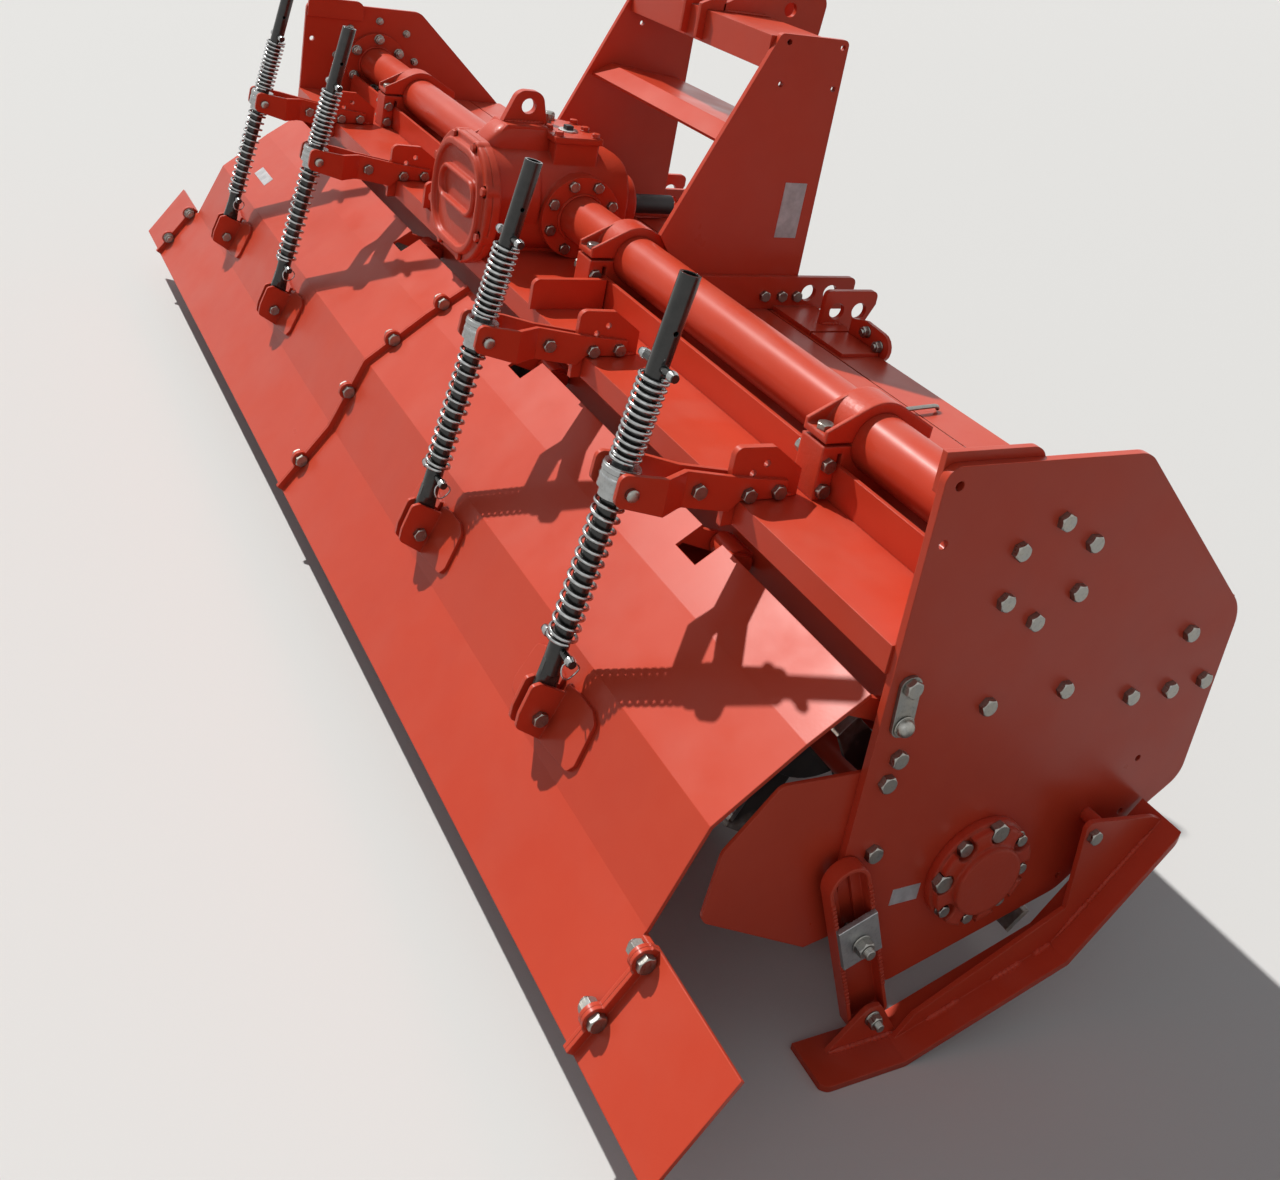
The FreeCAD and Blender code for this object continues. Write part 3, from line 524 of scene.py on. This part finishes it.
# End plates: the plate's own bolts, the tube's, the strap's, the hinge pin's and the skid's.
# On the left, the gear case covers the middle of the plate.
PLATE_BOLTS = ((560, 616), (630, 524), (558, 518), (475, 519), (328, 555), (186, 550), (51, 489),
               (43, 451), (55, 332))
CASE_WIDTH = (80, 400)
bolts = Piece("frame_bolts", "frame", zinc, "zinc")
for side in SIDES:
    outward = X_AXIS * side
    for y, z in PLATE_BOLTS:
        if side > 0 or not CASE_WIDTH[0] < y < CASE_WIDTH[1]:
            bolts.bolt(place(side * PLATE, y, z), outward)
    for y, z in circle(TUBE, BOLT_CIRCLE, 6, 0.5):
        if side > 0:
            bolts.bolt(place(PLATE, y, z), outward)
        bolts.nut(place(side * TUBE_FLANGE, y, z), -outward, 24, 5)
    bolts.bolt(place(side * STRAP, 34, 607), outward)
    bolts.washer(place(side * STRAP, *HINGE), outward, 16)
    bolts.dome(place(side * (STRAP + WASHER), *HINGE), outward, 13.5, 11)
    bolts.bolt(place(side * SKID_CHEEK, 436, 312), outward, 22)
    bolts.nut(place(side * SKID_LUG, *LINK_FOOT), outward, 20, 8)

# Gearbox side flanges, clamps, saddles and headstock feet.
for y, z in circle(TUBE, BOLT_CIRCLE, 8, 0.5):
    for x, outward in zip(GEARBOX_FLANGES_X, (X_AXIS, -X_AXIS)):
        bolts.bolt(place(x, y, z), outward, 22)
for x in CLAMPS_X:
    for y in (TUBE[0] - 86, TUBE[0] + 86):
        bolts.bolt(place(x, y, CLAMP_TOP), Z_AXIS)
    for z in (679, 722):
        bolts.bolt(place(x + 30, SADDLE_BOLTS_Y, z), X_AXIS, 22)
        bolts.nut(place(x - 30, SADDLE_BOLTS_Y, z), -X_AXIS, 22, 4)
for side in SIDES:
    for y in (530, 574, 613):
        bolts.bolt(place(side * HEADSTOCK_FOOT[1], y, 692), X_AXIS * side, 22)
        bolts.nut(place(side * HEADSTOCK_FOOT[0], y, 692), -X_AXIS * side, 22, 5)
bolts.done()

# Rotor bearing: plugs and bolts round its cover. The plugs are the wide ones, without washers.
bearing = Piece("bearing_bolts", "frame", zinc, "zinc")
HEADS_ACROSS = (18, 29, 22, 28, 18, 18, 18, 18)
for across, (y, z) in zip(HEADS_ACROSS, circle(ROTOR, BOLT_CIRCLE, 8, 41 / 45)):
    bearing.bolt(place(CASE_FLANGE, y, z), X_AXIS, across, washer=across < 20)
bearing.done()

# Spring arms: joint bolts of the straps, bracket bolts, domed ends of the trunnions.
arm_bolts = Piece("arm_bolts", "frame", zinc, "zinc")
trunnions = Piece("trunnion_ends", "swivels", zinc, "zinc")
ARM_BOLTS = ((-78, 687), (12, 674), (65, 676))
for x in ARMS_X:
    for side in SIDES:
        outward = X_AXIS * side
        for y, z in ARM_BOLTS:
            if side > 0:
                arm_bolts.bolt(place(x + 14.4, y, z), outward, 22)
            else:
                arm_bolts.nut(place(x - 14.4, y, z), outward, 22, 5)
        trunnions.dome(place(x + side * 49.8, *SWIVEL), outward, 10, 4)
arm_bolts.done()
trunnions.done()

# Flap: bolts through the ears of the standing edges, and the pins of the clevises.
FLAP_FOLDS = ((0, 579), (-85, 516), (-207, 412), (-268, 262), (-365, 122))


def on_flap(facet, share, out):
    """Place in Y and Z off a facet of the flap, and the facet's own direction outwards."""
    top, low = Vector(FLAP_FOLDS[facet]), Vector(FLAP_FOLDS[facet + 1])
    along = (low - top).normalized()
    normal = Vector((along.y, -along.x))
    return top.lerp(low, share) + normal * out, Vector((0, normal.x, normal.y))


flap_bolts = Piece("flap_bolts", "flap", zinc, "zinc")
EAR_HEIGHT = 12
MIDDLE_SEAM_BOLTS = ((0, 0.62), (1, 0.55), (2, 0.45), (3, 0.55))
END_SEAM_BOLTS = (0.12, 0.68)
END_SEAM = (1499, 1511)
for facet, share in MIDDLE_SEAM_BOLTS:
    ear = on_flap(facet, share, EAR_HEIGHT)[0]
    flap_bolts.bolt(place(5.5, *ear), X_AXIS)
    flap_bolts.nut(place(-5.5, *ear), -X_AXIS, 24, 5)
for side in SIDES:
    for share in END_SEAM_BOLTS:
        ear = on_flap(3, share, EAR_HEIGHT)[0]
        flap_bolts.bolt(place(side * END_SEAM[1], *ear), X_AXIS * side)
        flap_bolts.nut(place(side * END_SEAM[0], *ear), -X_AXIS * side, 24, 5)
for x in ARMS_X:
    flap_bolts.bolt(place(x + 15, *FLAP_PIN), X_AXIS, 22)
    flap_bolts.nut(place(x - 15, *FLAP_PIN), -X_AXIS, 22, 4)
flap_bolts.done()

# Springs of round wire, each coiled round a rod between the rod and the swivel.
ROD_FOOT = Vector((0, *FLAP_PIN))
ROD_UP = (Vector((0, *SWIVEL)) - ROD_FOOT).normalized()
ROD_SIDE = X_AXIS.cross(ROD_UP)
CROSS_PINS = (114, 568)


def on_rod(x, distance, out=0.0, angle=0.0):
    """Place beside a rod's axis, at a distance above the flap pin."""
    p = ROD_FOOT + ROD_UP * distance
    p += (X_AXIS * math.cos(angle) + ROD_SIDE * math.sin(angle)) * out
    return place(x + p.x, p.y, p.z)


def coil(piece, x, low, high, turns, mean, wire):
    """Helix with closed end turns. mean is the radius of the wire's middle."""
    steps = 22
    closed = 0.9
    points = []
    for i in range(turns * steps + 1):
        t = i / steps
        if t < closed:
            rise = t * wire
        elif t > turns - closed:
            rise = (high - low - wire) - (turns - t) * wire
        else:
            share = (t - closed) / (turns - 2 * closed)
            rise = closed * wire + share * (high - low - wire - 2 * closed * wire)
        points.append(on_rod(x, low + wire / 2 + rise, mean, 2 * math.pi * t))
    piece.sweep(points, wire / 2, 10)


# The body at the foot and at the head, the distances of both ends, and the turns.
SPRINGS = (("springs_lower", "rods", "swivels", 126, 359.3, 14),
           ("springs_upper", "swivels", "rods", 419.3, 556, 13))
for label, foot_body, head_body, low, high, turns in SPRINGS:
    springs = Piece(label + "_wire", None, bright, "spring")
    for x in ARMS_X:
        coil(springs, x, low, high, turns, 22, 5.6)
    obj = springs.done()
    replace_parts(obj, label)
    on_rod(0, low)
    on_rod(0, high)
    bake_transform(obj)

# Ends of the cross pins and the ring clips that hold them.
clips = Piece("pin_clips", "rods", bright, "zinc")
for x in ARMS_X:
    for distance in CROSS_PINS:
        at = on_rod(x, distance)
        for side in SIDES:
            clips.lathe(at + X_AXIS * side * 0.036, X_AXIS * side,
                        [(6.6, 0), (8.6, 1.5), (8.6, 7), (7.0, 11), (6.6, 13)], 16)
    at = on_rod(x, CROSS_PINS[0]) + X_AXIS * 0.045
    ring = [at + Vector((3 * math.sin(2 * a), 14 * math.cos(a), 14 * math.sin(a) - 12)) / 1000
            for a in angles(20)]
    clips.sweep(ring, 1.4, 6, loop=True)
clips.done()

# Lower ends of the rods: the tube is pressed flat towards its eye.
feet = Piece("rod_feet", "rods", chrome, "zinc")
ROD_RADIUS = 16.4
for x in ARMS_X:
    rings = []
    for k in range(11):
        t = k / 10
        ease = t * t * (3 - 2 * t)
        wide = ROD_RADIUS + 4.6 * ease
        thin = ROD_RADIUS - 10.8 * ease
        power = 1 - 0.55 * ease
        ring = []
        for a in angles(28):
            out_x = squared(math.cos(a), power) * thin
            out_side = squared(math.sin(a), power) * wide
            ring.append(on_rod(x, 92 - 66 * t) + (X_AXIS * out_x + ROD_SIDE * out_side) / 1000)
        rings.append(ring)
    feet.rings(rings)
feet.done()

# Turned rings on the swivels.
swivel_rings = Piece("swivel_rings", "swivels", bright, "zinc")
for x in ARMS_X:
    for distance, radius, height in ((388, 29.0, 9), (402, 29.5, 10)):
        swivel_rings.lathe(on_rod(x, distance), ROD_UP,
                           [(28.2, 0), (radius, 1.5), (radius, height - 1.5), (28.2, height)], 32)
swivel_rings.done()

# Skids: the slotted links with their clamp plates, nuts and teeth.
LINK_UP = Vector((0, -101, 249)).normalized()
LINK_SIDE = Vector((0, 249, 101)).normalized()


def on_link(side, x, along, across=0.0):
    """Place on a skid link, measured along it from its lower bolt."""
    p = place(side * x, *LINK_FOOT)
    return p + (LINK_UP * along + LINK_SIDE * across) / 1000


def arch(side, x, low, high, half, foot):
    """Ring round a link at one depth, with a round top and smaller corners below."""
    ring = []
    for a in angles(56, 0.5):
        c, d = math.cos(a), math.sin(a)
        radius = half if d > 0 else foot
        centre = high - radius if d > 0 else low + radius
        ring.append(on_link(side, x, centre + radius * d,
                            math.copysign(half - radius, c) + radius * c))
    return ring


# Channel section of a link, from its back over the lip into the trough and through the slot.
LINK_SECTION = ((1501, -21, 301, 32, 12), (1502, -22, 302, 33, 13), (1525.5, -22, 302, 33, 13),
                (1526.5, -21, 301, 32, 12), (1526.5, -17, 297, 28, 9), (1525.5, -16, 296, 27, 8),
                (1507.5, -16, 296, 27, 8), (1506.5, -15, 295, 26, 7), (1506.5, 105, 277, 11, 11),
                (1501, 105, 277, 11, 11))
for side, label in zip(SIDES, ("skid_link_right", "skid_link_left")):
    link = Piece(label + "_channel", "frame", red_paint)
    link.rings([arch(side, *row) for row in LINK_SECTION], loop=True)
    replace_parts(link.done(), label)

clamp_plates = Piece("link_plates", "frame", raw_steel, "zinc")
link_nuts = Piece("link_nuts", "frame", zinc, "zinc")
teeth = Piece("link_teeth", "frame", red_paint)
LINK_FACE = 1526.2
CLAMP_THICK = 8
TEETH_ALONG = [along for along in range(44, 260, 8) if not 124 < along < 212]
for side in SIDES:
    outward = X_AXIS * side
    clamp_plates.block(on_link(side, LINK_FACE, 168), outward, LINK_UP, (76, 64, CLAMP_THICK))
    link_nuts.nut(on_link(side, LINK_FACE + CLAMP_THICK, 164), outward, 24, 8)
    link_nuts.lathe(on_link(side, PLATE + 0.5, 164), outward, [(7.8, 0), (7.8, 26)], 16)
    for along in TEETH_ALONG:
        for across in (-30, 30):
            teeth.block(on_link(side, 1525.5, along, across), outward, LINK_UP, (4.5, 6.5, 2.6))
clamp_plates.done()
link_nuts.done()
teeth.done()

# Welds: on the skids, the headstock plates, the lower link lugs, the spring arms' feet, the top
# link plates, the lifting eye and the drive tubes. Each row has X, both ends and the radius.
WELDS = (
    (1549, (206, 31), (262, 52), 4.6), (1539, (206, 31), (262, 52), 4.0),
    (1549, (318, 72.5), (372, 92.5), 4.6), (1539, (318, 72.5), (372, 92.5), 4.0),
    (1549, (392, 100), (424, 112), 4.6), (1539, (392, 100), (424, 112), 4.0),
    (1549, (432, 124), (570, 294), 3.6), (1537, (44, 11), (166, 11), 4.0),
    (299, (314, 663.5), (612, 663.5), 3.6), (433, (613, 671.5), (660, 671.5), 4.0),
    (419, (613, 671.5), (660, 671.5), 4.0),
)
welds = Piece("weld_beads", "frame", red_paint)
for side in SIDES:
    for x, start, end, radius in WELDS:
        welds.weld(place(side * x, *start), place(side * x, *end), radius)
for x in ARMS_X:
    for side in SIDES:
        welds.weld(place(x + side * 7, 3, 664), place(x + side * 7, 104, 664), 3.6)
box_rear, box_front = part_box("headstock_box")
for x in (-0.041, 0.041):
    seam = Vector((x, box_front.y, box_front.z + 0.002))
    welds.weld(seam - Y_AXIS * 0.118, seam - Y_AXIS * 0.002, 3.4)
for side in SIDES:
    x = GEARBOX_X + side * 10.5
    welds.weld(place(x, 66, 931), place(x, 156, 932), 3.8)
TUBE_ENDS_X = (21.5, 1471.5, -241.5, -1471.5)
TUBE_RADIUS = 52.5
for x in TUBE_ENDS_X:
    ring = []
    for a in angles(72):
        radius = TUBE_RADIUS + random.uniform(-0.5, 0.5)
        ring.append(place(x, TUBE[0] + radius * math.cos(a), TUBE[1] + radius * math.sin(a)))
    welds.sweep(ring, [3.4 * (1 + 0.18 * math.sin(2.2 * k)) for k in range(72)], 7, loop=True)
welds.done()

# Gearbox: the rear cover, which is two plates, a raised rim and a blank plaque, in rows of
# (Y, half width, half height, corner radius). Then its lugs and bolts.
COVER = (-77, 768)
PLAQUE = (-69, 782)
COVER_PLATES = (
    ((6, 158, 130, 122), (4, 161, 133, 125), (-11.5, 161, 133, 125), (-12.5, 160, 132, 124)),
    ((-12.5, 157, 129, 121), (-13.5, 160, 132, 124), (-24, 160, 132, 124), (-27, 157, 129, 121)),
)
COVER_RIM = ((-26, 138, 117, 100), (-35, 136, 115, 98), (-38, 133, 112, 95), (-38, 126, 101, 88),
             (-35, 123, 98, 85), (-26, 121, 96, 83))
PLAQUE_RIM = ((-26, 104, 42, 41), (-37, 102, 40, 39), (-40, 99, 37, 36), (-40, 94, 32, 31),
              (-37, 92, 30, 29), (-26, 91, 29, 28))
COVER_LUGS = (152, 128)


def cover_rings(middle, rows):
    """Rounded rectangles round a middle on the rear cover, one for each row."""
    rings = []
    for y, half_x, half_z, rounding in rows:
        ring = []
        for a in angles(64, 0.5):
            c, d = math.cos(a), math.sin(a)
            corner_x = math.copysign(half_x - rounding, c)
            corner_z = math.copysign(half_z - rounding, d)
            ring.append(place(middle[0] + corner_x + rounding * c, y,
                              middle[1] + corner_z + rounding * d))
        rings.append(ring)
    return rings


cover = Piece("rear_cover_casting", "frame", cast_paint)
for rows in COVER_PLATES:
    cover.rings(cover_rings(COVER, rows))
cover.rings(cover_rings(COVER, COVER_RIM), loop=True)
cover.rings(cover_rings(PLAQUE, PLAQUE_RIM), loop=True)
cover_bolts = Piece("rear_cover_bolts", "frame", red_paint)
for a in angles(8, 0.5):
    at = place(COVER[0] + COVER_LUGS[0] * math.cos(a), 2, COVER[1] + COVER_LUGS[1] * math.sin(a))
    cover.lathe(at, -Y_AXIS, [(15, 0), (15, 27), (13.5, 29)], 20)
    cover_bolts.hexagon(at - Y_AXIS * 0.0288, -Y_AXIS, 17, 8, random.uniform(0, 1))
cover_obj = cover.done()
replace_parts(cover_obj, "gearbox_rear_cover")

# Top cover: bolts, breather and filler plug.
FILLER = (-92, 216)
TOP_BOLTS = ((-42, 172), (-42, 260), (-100, 172), (-100, 261), (-164, 262), (-190, 216))
for x, y in TOP_BOLTS:
    cover_bolts.washer(place(x, y, TOP_COVER), Z_AXIS, 11, 2)
    cover_bolts.hexagon(place(x, y, TOP_COVER + 2), Z_AXIS, 17, 8, random.uniform(0, 1))
cover_bolts.done()
breather = Piece("breather", "frame", zinc, "zinc")
breather.lathe(place(-146, 190, TOP_COVER), Z_AXIS,
               [(8, 0), (8, 8), (12, 9), (13, 12), (13, 24), (10, 28), (4, 29)], 20)
breather.done()
plug = Piece("filler_plug", "frame", machined, "zinc")
plug.lathe(place(*FILLER, TOP_COVER), Z_AXIS, [(22, 0), (22, 3), (20, 4)], 28)
plug.done()
plug_top = Piece("filler_plug_top", "frame", black_plastic)
plug_top.block(place(*FILLER, TOP_COVER + 4), Z_AXIS, X_AXIS, (17, 17, 9))
plug_top.done()

# Rounded hump of the casting under the lifting eye, in rows of (Y, half width, top).
hump = Piece("gearbox_hump", "frame", cast_paint)
HUMP_MIDDLE = 850
HUMP_SECTIONS = ((14, 36, 878), (30, 41, 902), (44, 44, 917), (58, 45.5, 926), (74, 46, 930),
                 (110, 46, 931.5), (148, 46, 931.5), (160, 45, 929), (166, 43, 922), (168, 40, 905))
rings = []
for y, half_width, top in HUMP_SECTIONS:
    rings.append([place(GEARBOX_X + half_width * squared(math.cos(a), 0.45), y,
                        HUMP_MIDDLE + (top - HUMP_MIDDLE) * squared(math.sin(a), 0.42))
                  for a in angles(40, 0.5)])
hump.rings(rings)
hump.done()

# Sleeves of the flap's hinge.
sleeves = Piece("hinge_sleeves", "frame", red_paint)
SLEEVES_X = (-1058, -365, 365, 1058)
for x in SLEEVES_X:
    sleeves.lathe(place(x - 29, *HINGE), X_AXIS,
                  [(19.5, 0), (21, 1.5), (21, 56.5), (19.5, 58)], 32)
sleeves.done()

# Front of the beam: a bolted bracket beside each outer lug, and a bent rod that holds hoses.
brackets = Piece("beam_brackets", "frame", red_paint)
bracket_bolts = Piece("beam_bracket_bolts", "frame", zinc, "zinc")
BRACKET = (532, 660)
BRACKET_BACK = 655.4
BRACKET_THICK = 10
BRACKET_ROUND = (576, 678)
outline = [(472, 650), (472, 700), (520, 712)]
for k in range(9):
    a = math.radians(90 - 22.5 * k)
    outline.append((BRACKET_ROUND[0] + 30 * math.cos(a), BRACKET_ROUND[1] + 30 * math.sin(a)))
outline.append((540, 648))
for side in SIDES:
    brackets.prism(place(side * BRACKET[0], BRACKET_BACK, BRACKET[1]), Y_AXIS,
                   [(z - BRACKET[1], side * (x - BRACKET[0])) for x, z in outline],
                   BRACKET_THICK, Z_AXIS, 1.2)
    brackets.block(place(side * 528, 606, 660.2), Z_AXIS, X_AXIS, (112, 92, 8))
    for x, z in ((530, 692), (577, 679)):
        bracket_bolts.nut(place(side * x, 655, z), -Y_AXIS, 20, 4)
        bracket_bolts.bolt(place(side * x, BRACKET_BACK + BRACKET_THICK, z), Y_AXIS, 22)
brackets.done()
bracket_bolts.done()
hook = Piece("hose_hook", "frame", zinc, "zinc")
HOOK_PATH = ((850, 508, 664), (849, 512, 669), (846, 520, 671.5), (842, 560, 672),
             (838, 592, 671.5), (836, 600, 669), (835, 604, 664))
hook.sweep([place(*p) for p in HOOK_PATH], 4.2, 10)
hook.done()

# Tails of the top link plates, down the back of the headstock's box.
tails = Piece("link_plate_tails", "frame", red_paint)
TAIL = ((44, 1), (0, 1), (0, -64), (-16, -60), (-16, 12), (44, 40))
box_back, box_top = (box_rear.y - rear_edge) * 1000, box_front.z * 1000
for x in (-40, 28):
    tails.prism(place(x, 0, box_top), X_AXIS, [(-z, box_back + y) for y, z in TAIL],
                12, -Z_AXIS, 0.4)
tails.done()

# Left side gear case: flange bolts, oil plugs and a level glass.
CASE_BOLTS = ((102, 680), (102, 770), (137, 853), (225, 883), (313, 853), (348, 770), (348, 680),
              (354, 560), (363, 450), (372, 340), (378, 245), (352, 165), (262, 145), (172, 165),
              (147, 245), (138, 340), (125, 450), (112, 560))
case_bolts = Piece("gear_case_bolts", "frame", zinc, "zinc")
inner_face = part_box("end_plate_left")[1].x * 1000
NUTS_ABOVE = 340
for y, z in CASE_BOLTS:
    case_bolts.bolt(place(-CASE_FLANGE, y, z), -X_AXIS, 12)
    if z > NUTS_ABOVE:
        case_bolts.nut(place(inner_face, y, z), X_AXIS, 18, 5)
for y, z in ((225, 800), (262, 172)):
    case_bolts.lathe(place(-CASE_COVER, y, z), -X_AXIS, [(17, 0), (17, 3), (15, 4)], 24)
    case_bolts.hexagon(place(-CASE_COVER - 3.5, y, z), -X_AXIS, 22, 10, 0.3)
case_bolts.done()
glass = Piece("level_glass", "frame", machined, "zinc")
glass.lathe(place(-CASE_COVER, 262, 330), -X_AXIS,
            [(19, 0), (19, 4), (16, 6), (12, 6), (11, 3.5), (1, 3.5)], 28)
glass.done()

# Blank labels, just off the headstock, the end plate and the flap.
labels = Piece("blank_labels", "frame", label_film)
labels.block(place(312.1, 558, 879), X_AXIS, Z_AXIS, (120, 54, 0.8))
labels.block(place(PLATE + 0.1, 141, 237), X_AXIS, Y_AXIS, (50, 28, 0.6))
labels.done()
flap_label = Piece("flap_label", "flap", label_film)
at, normal = on_flap(1, 0.54, 0.1)
flap_label.block(place(-1214, *at), normal, X_AXIS, (120, 30, 0.6))
flap_label.done()

# Floor, lights and camera.


def seen(tree):
    """1 for what the eye, a mirror or glass shows, 0 for the light that a surface sheds."""
    path = tree.nodes.new("ShaderNodeLightPath")
    total = path.outputs["Is Camera Ray"]
    for other in ("Is Glossy Ray", "Is Transmission Ray"):
        node = tree.nodes.new("ShaderNodeMath")
        node.operation = "MAXIMUM"
        tree.links.new(total, node.inputs[0])
        tree.links.new(path.outputs[other], node.inputs[1])
        total = node.outputs["Value"]
    return total


def floor_surface(pale, shed):
    """Plain floor that looks pale and keeps the shadows, but sheds little light upwards."""
    material = bpy.data.materials.new("pale_floor")
    material.use_nodes = True
    tree = material.node_tree
    shader = tree.nodes["Principled BSDF"]
    mix = tree.nodes.new("ShaderNodeMix")
    mix.data_type = "RGBA"
    mix.inputs[6].default_value = (*shed, 1)
    mix.inputs[7].default_value = (*pale, 1)
    tree.links.new(seen(tree), mix.inputs[0])
    tree.links.new(mix.outputs[2], shader.inputs["Base Color"])
    shader.inputs["Roughness"].default_value = 0.9
    return material


REACH = 40.0
floor_data = bpy.data.meshes.new("floor")
floor_data.from_pydata([(-REACH, -REACH, 0), (REACH, -REACH, 0), (REACH, REACH, 0),
                        (-REACH, REACH, 0)], [], [(0, 1, 2, 3)])
floor_data.materials.append(floor_surface((0.78, 0.78, 0.77), (0.20, 0.20, 0.20)))
floor = bpy.data.objects.new("floor", floor_data)
bpy.context.scene.collection.objects.link(floor)
floor.location.z = -0.0005


def lamp(name, kind, at, power, size, colour=(1, 1, 1)):
    """Lamp aimed at the middle of the machine. size is in degrees for a sun, else in metres."""
    data = bpy.data.lights.new(name, kind)
    data.energy = power
    data.color = colour
    if kind == "SUN":
        data.angle = math.radians(size)
    else:
        data.size = size
    obj = bpy.data.objects.new(name, data)
    bpy.context.scene.collection.objects.link(obj)
    obj.location = at
    obj.rotation_mode = "QUATERNION"
    obj.rotation_quaternion = (Vector((0, 0, 0.5)) - Vector(at)).to_track_quat("-Z", "Y")
    return obj


lamps = [
    lamp("key", "SUN", (-4.9, -2.0, 6.5), 3.3, 1, (1.0, 0.98, 0.95)),
    lamp("fill", "AREA", (5.0, -4.5, 3.5), 30, 4),
]

# The sky sheds a soft blue light, and shows as plain white.
world = bpy.data.worlds.new("studio")
bpy.context.scene.world = world
world.use_nodes = True
tree = world.node_tree
background = tree.nodes["Background"]
background.inputs["Color"].default_value = (0.92, 0.95, 1.0, 1)
background.inputs["Strength"].default_value = 0.17
shown = tree.nodes.new("ShaderNodeBackground")
shown.inputs["Color"].default_value = (1, 1, 1, 1)
shown.inputs["Strength"].default_value = 1.0
blend = tree.nodes.new("ShaderNodeMixShader")
tree.links.new(seen(tree), blend.inputs["Fac"])
tree.links.new(background.outputs["Background"], blend.inputs[1])
tree.links.new(shown.outputs["Background"], blend.inputs[2])
tree.links.new(blend.outputs["Shader"], tree.nodes["World Output"].inputs["Surface"])
bpy.context.scene.view_settings.view_transform = "Standard"

# Camera: its place and its right, down and forward directions.
CAMERA_PLACE = (2612.3, -1132.4, 1567.8)
RIGHT = Vector((0.45324138, 0.87343979, 0.17797524))
DOWN = Vector((0.37775369, -0.00736221, -0.92587685))
FORWARD = Vector((-0.8073874, 0.4868765, -0.33328196))
camera_data = bpy.data.cameras.new("camera")
camera_data.sensor_width = 36
camera_data.lens = 39.0
camera_data.shift_x = -0.0016
camera_data.shift_y = -0.2057
camera_data.clip_end = 200
camera = bpy.data.objects.new("camera", camera_data)
bpy.context.scene.collection.objects.link(camera)
camera_turn = Matrix((RIGHT, -DOWN, -FORWARD)).transposed()
camera.matrix_world = Matrix.Translation(place(*CAMERA_PLACE)) @ camera_turn.to_4x4()
bpy.context.scene.camera = camera
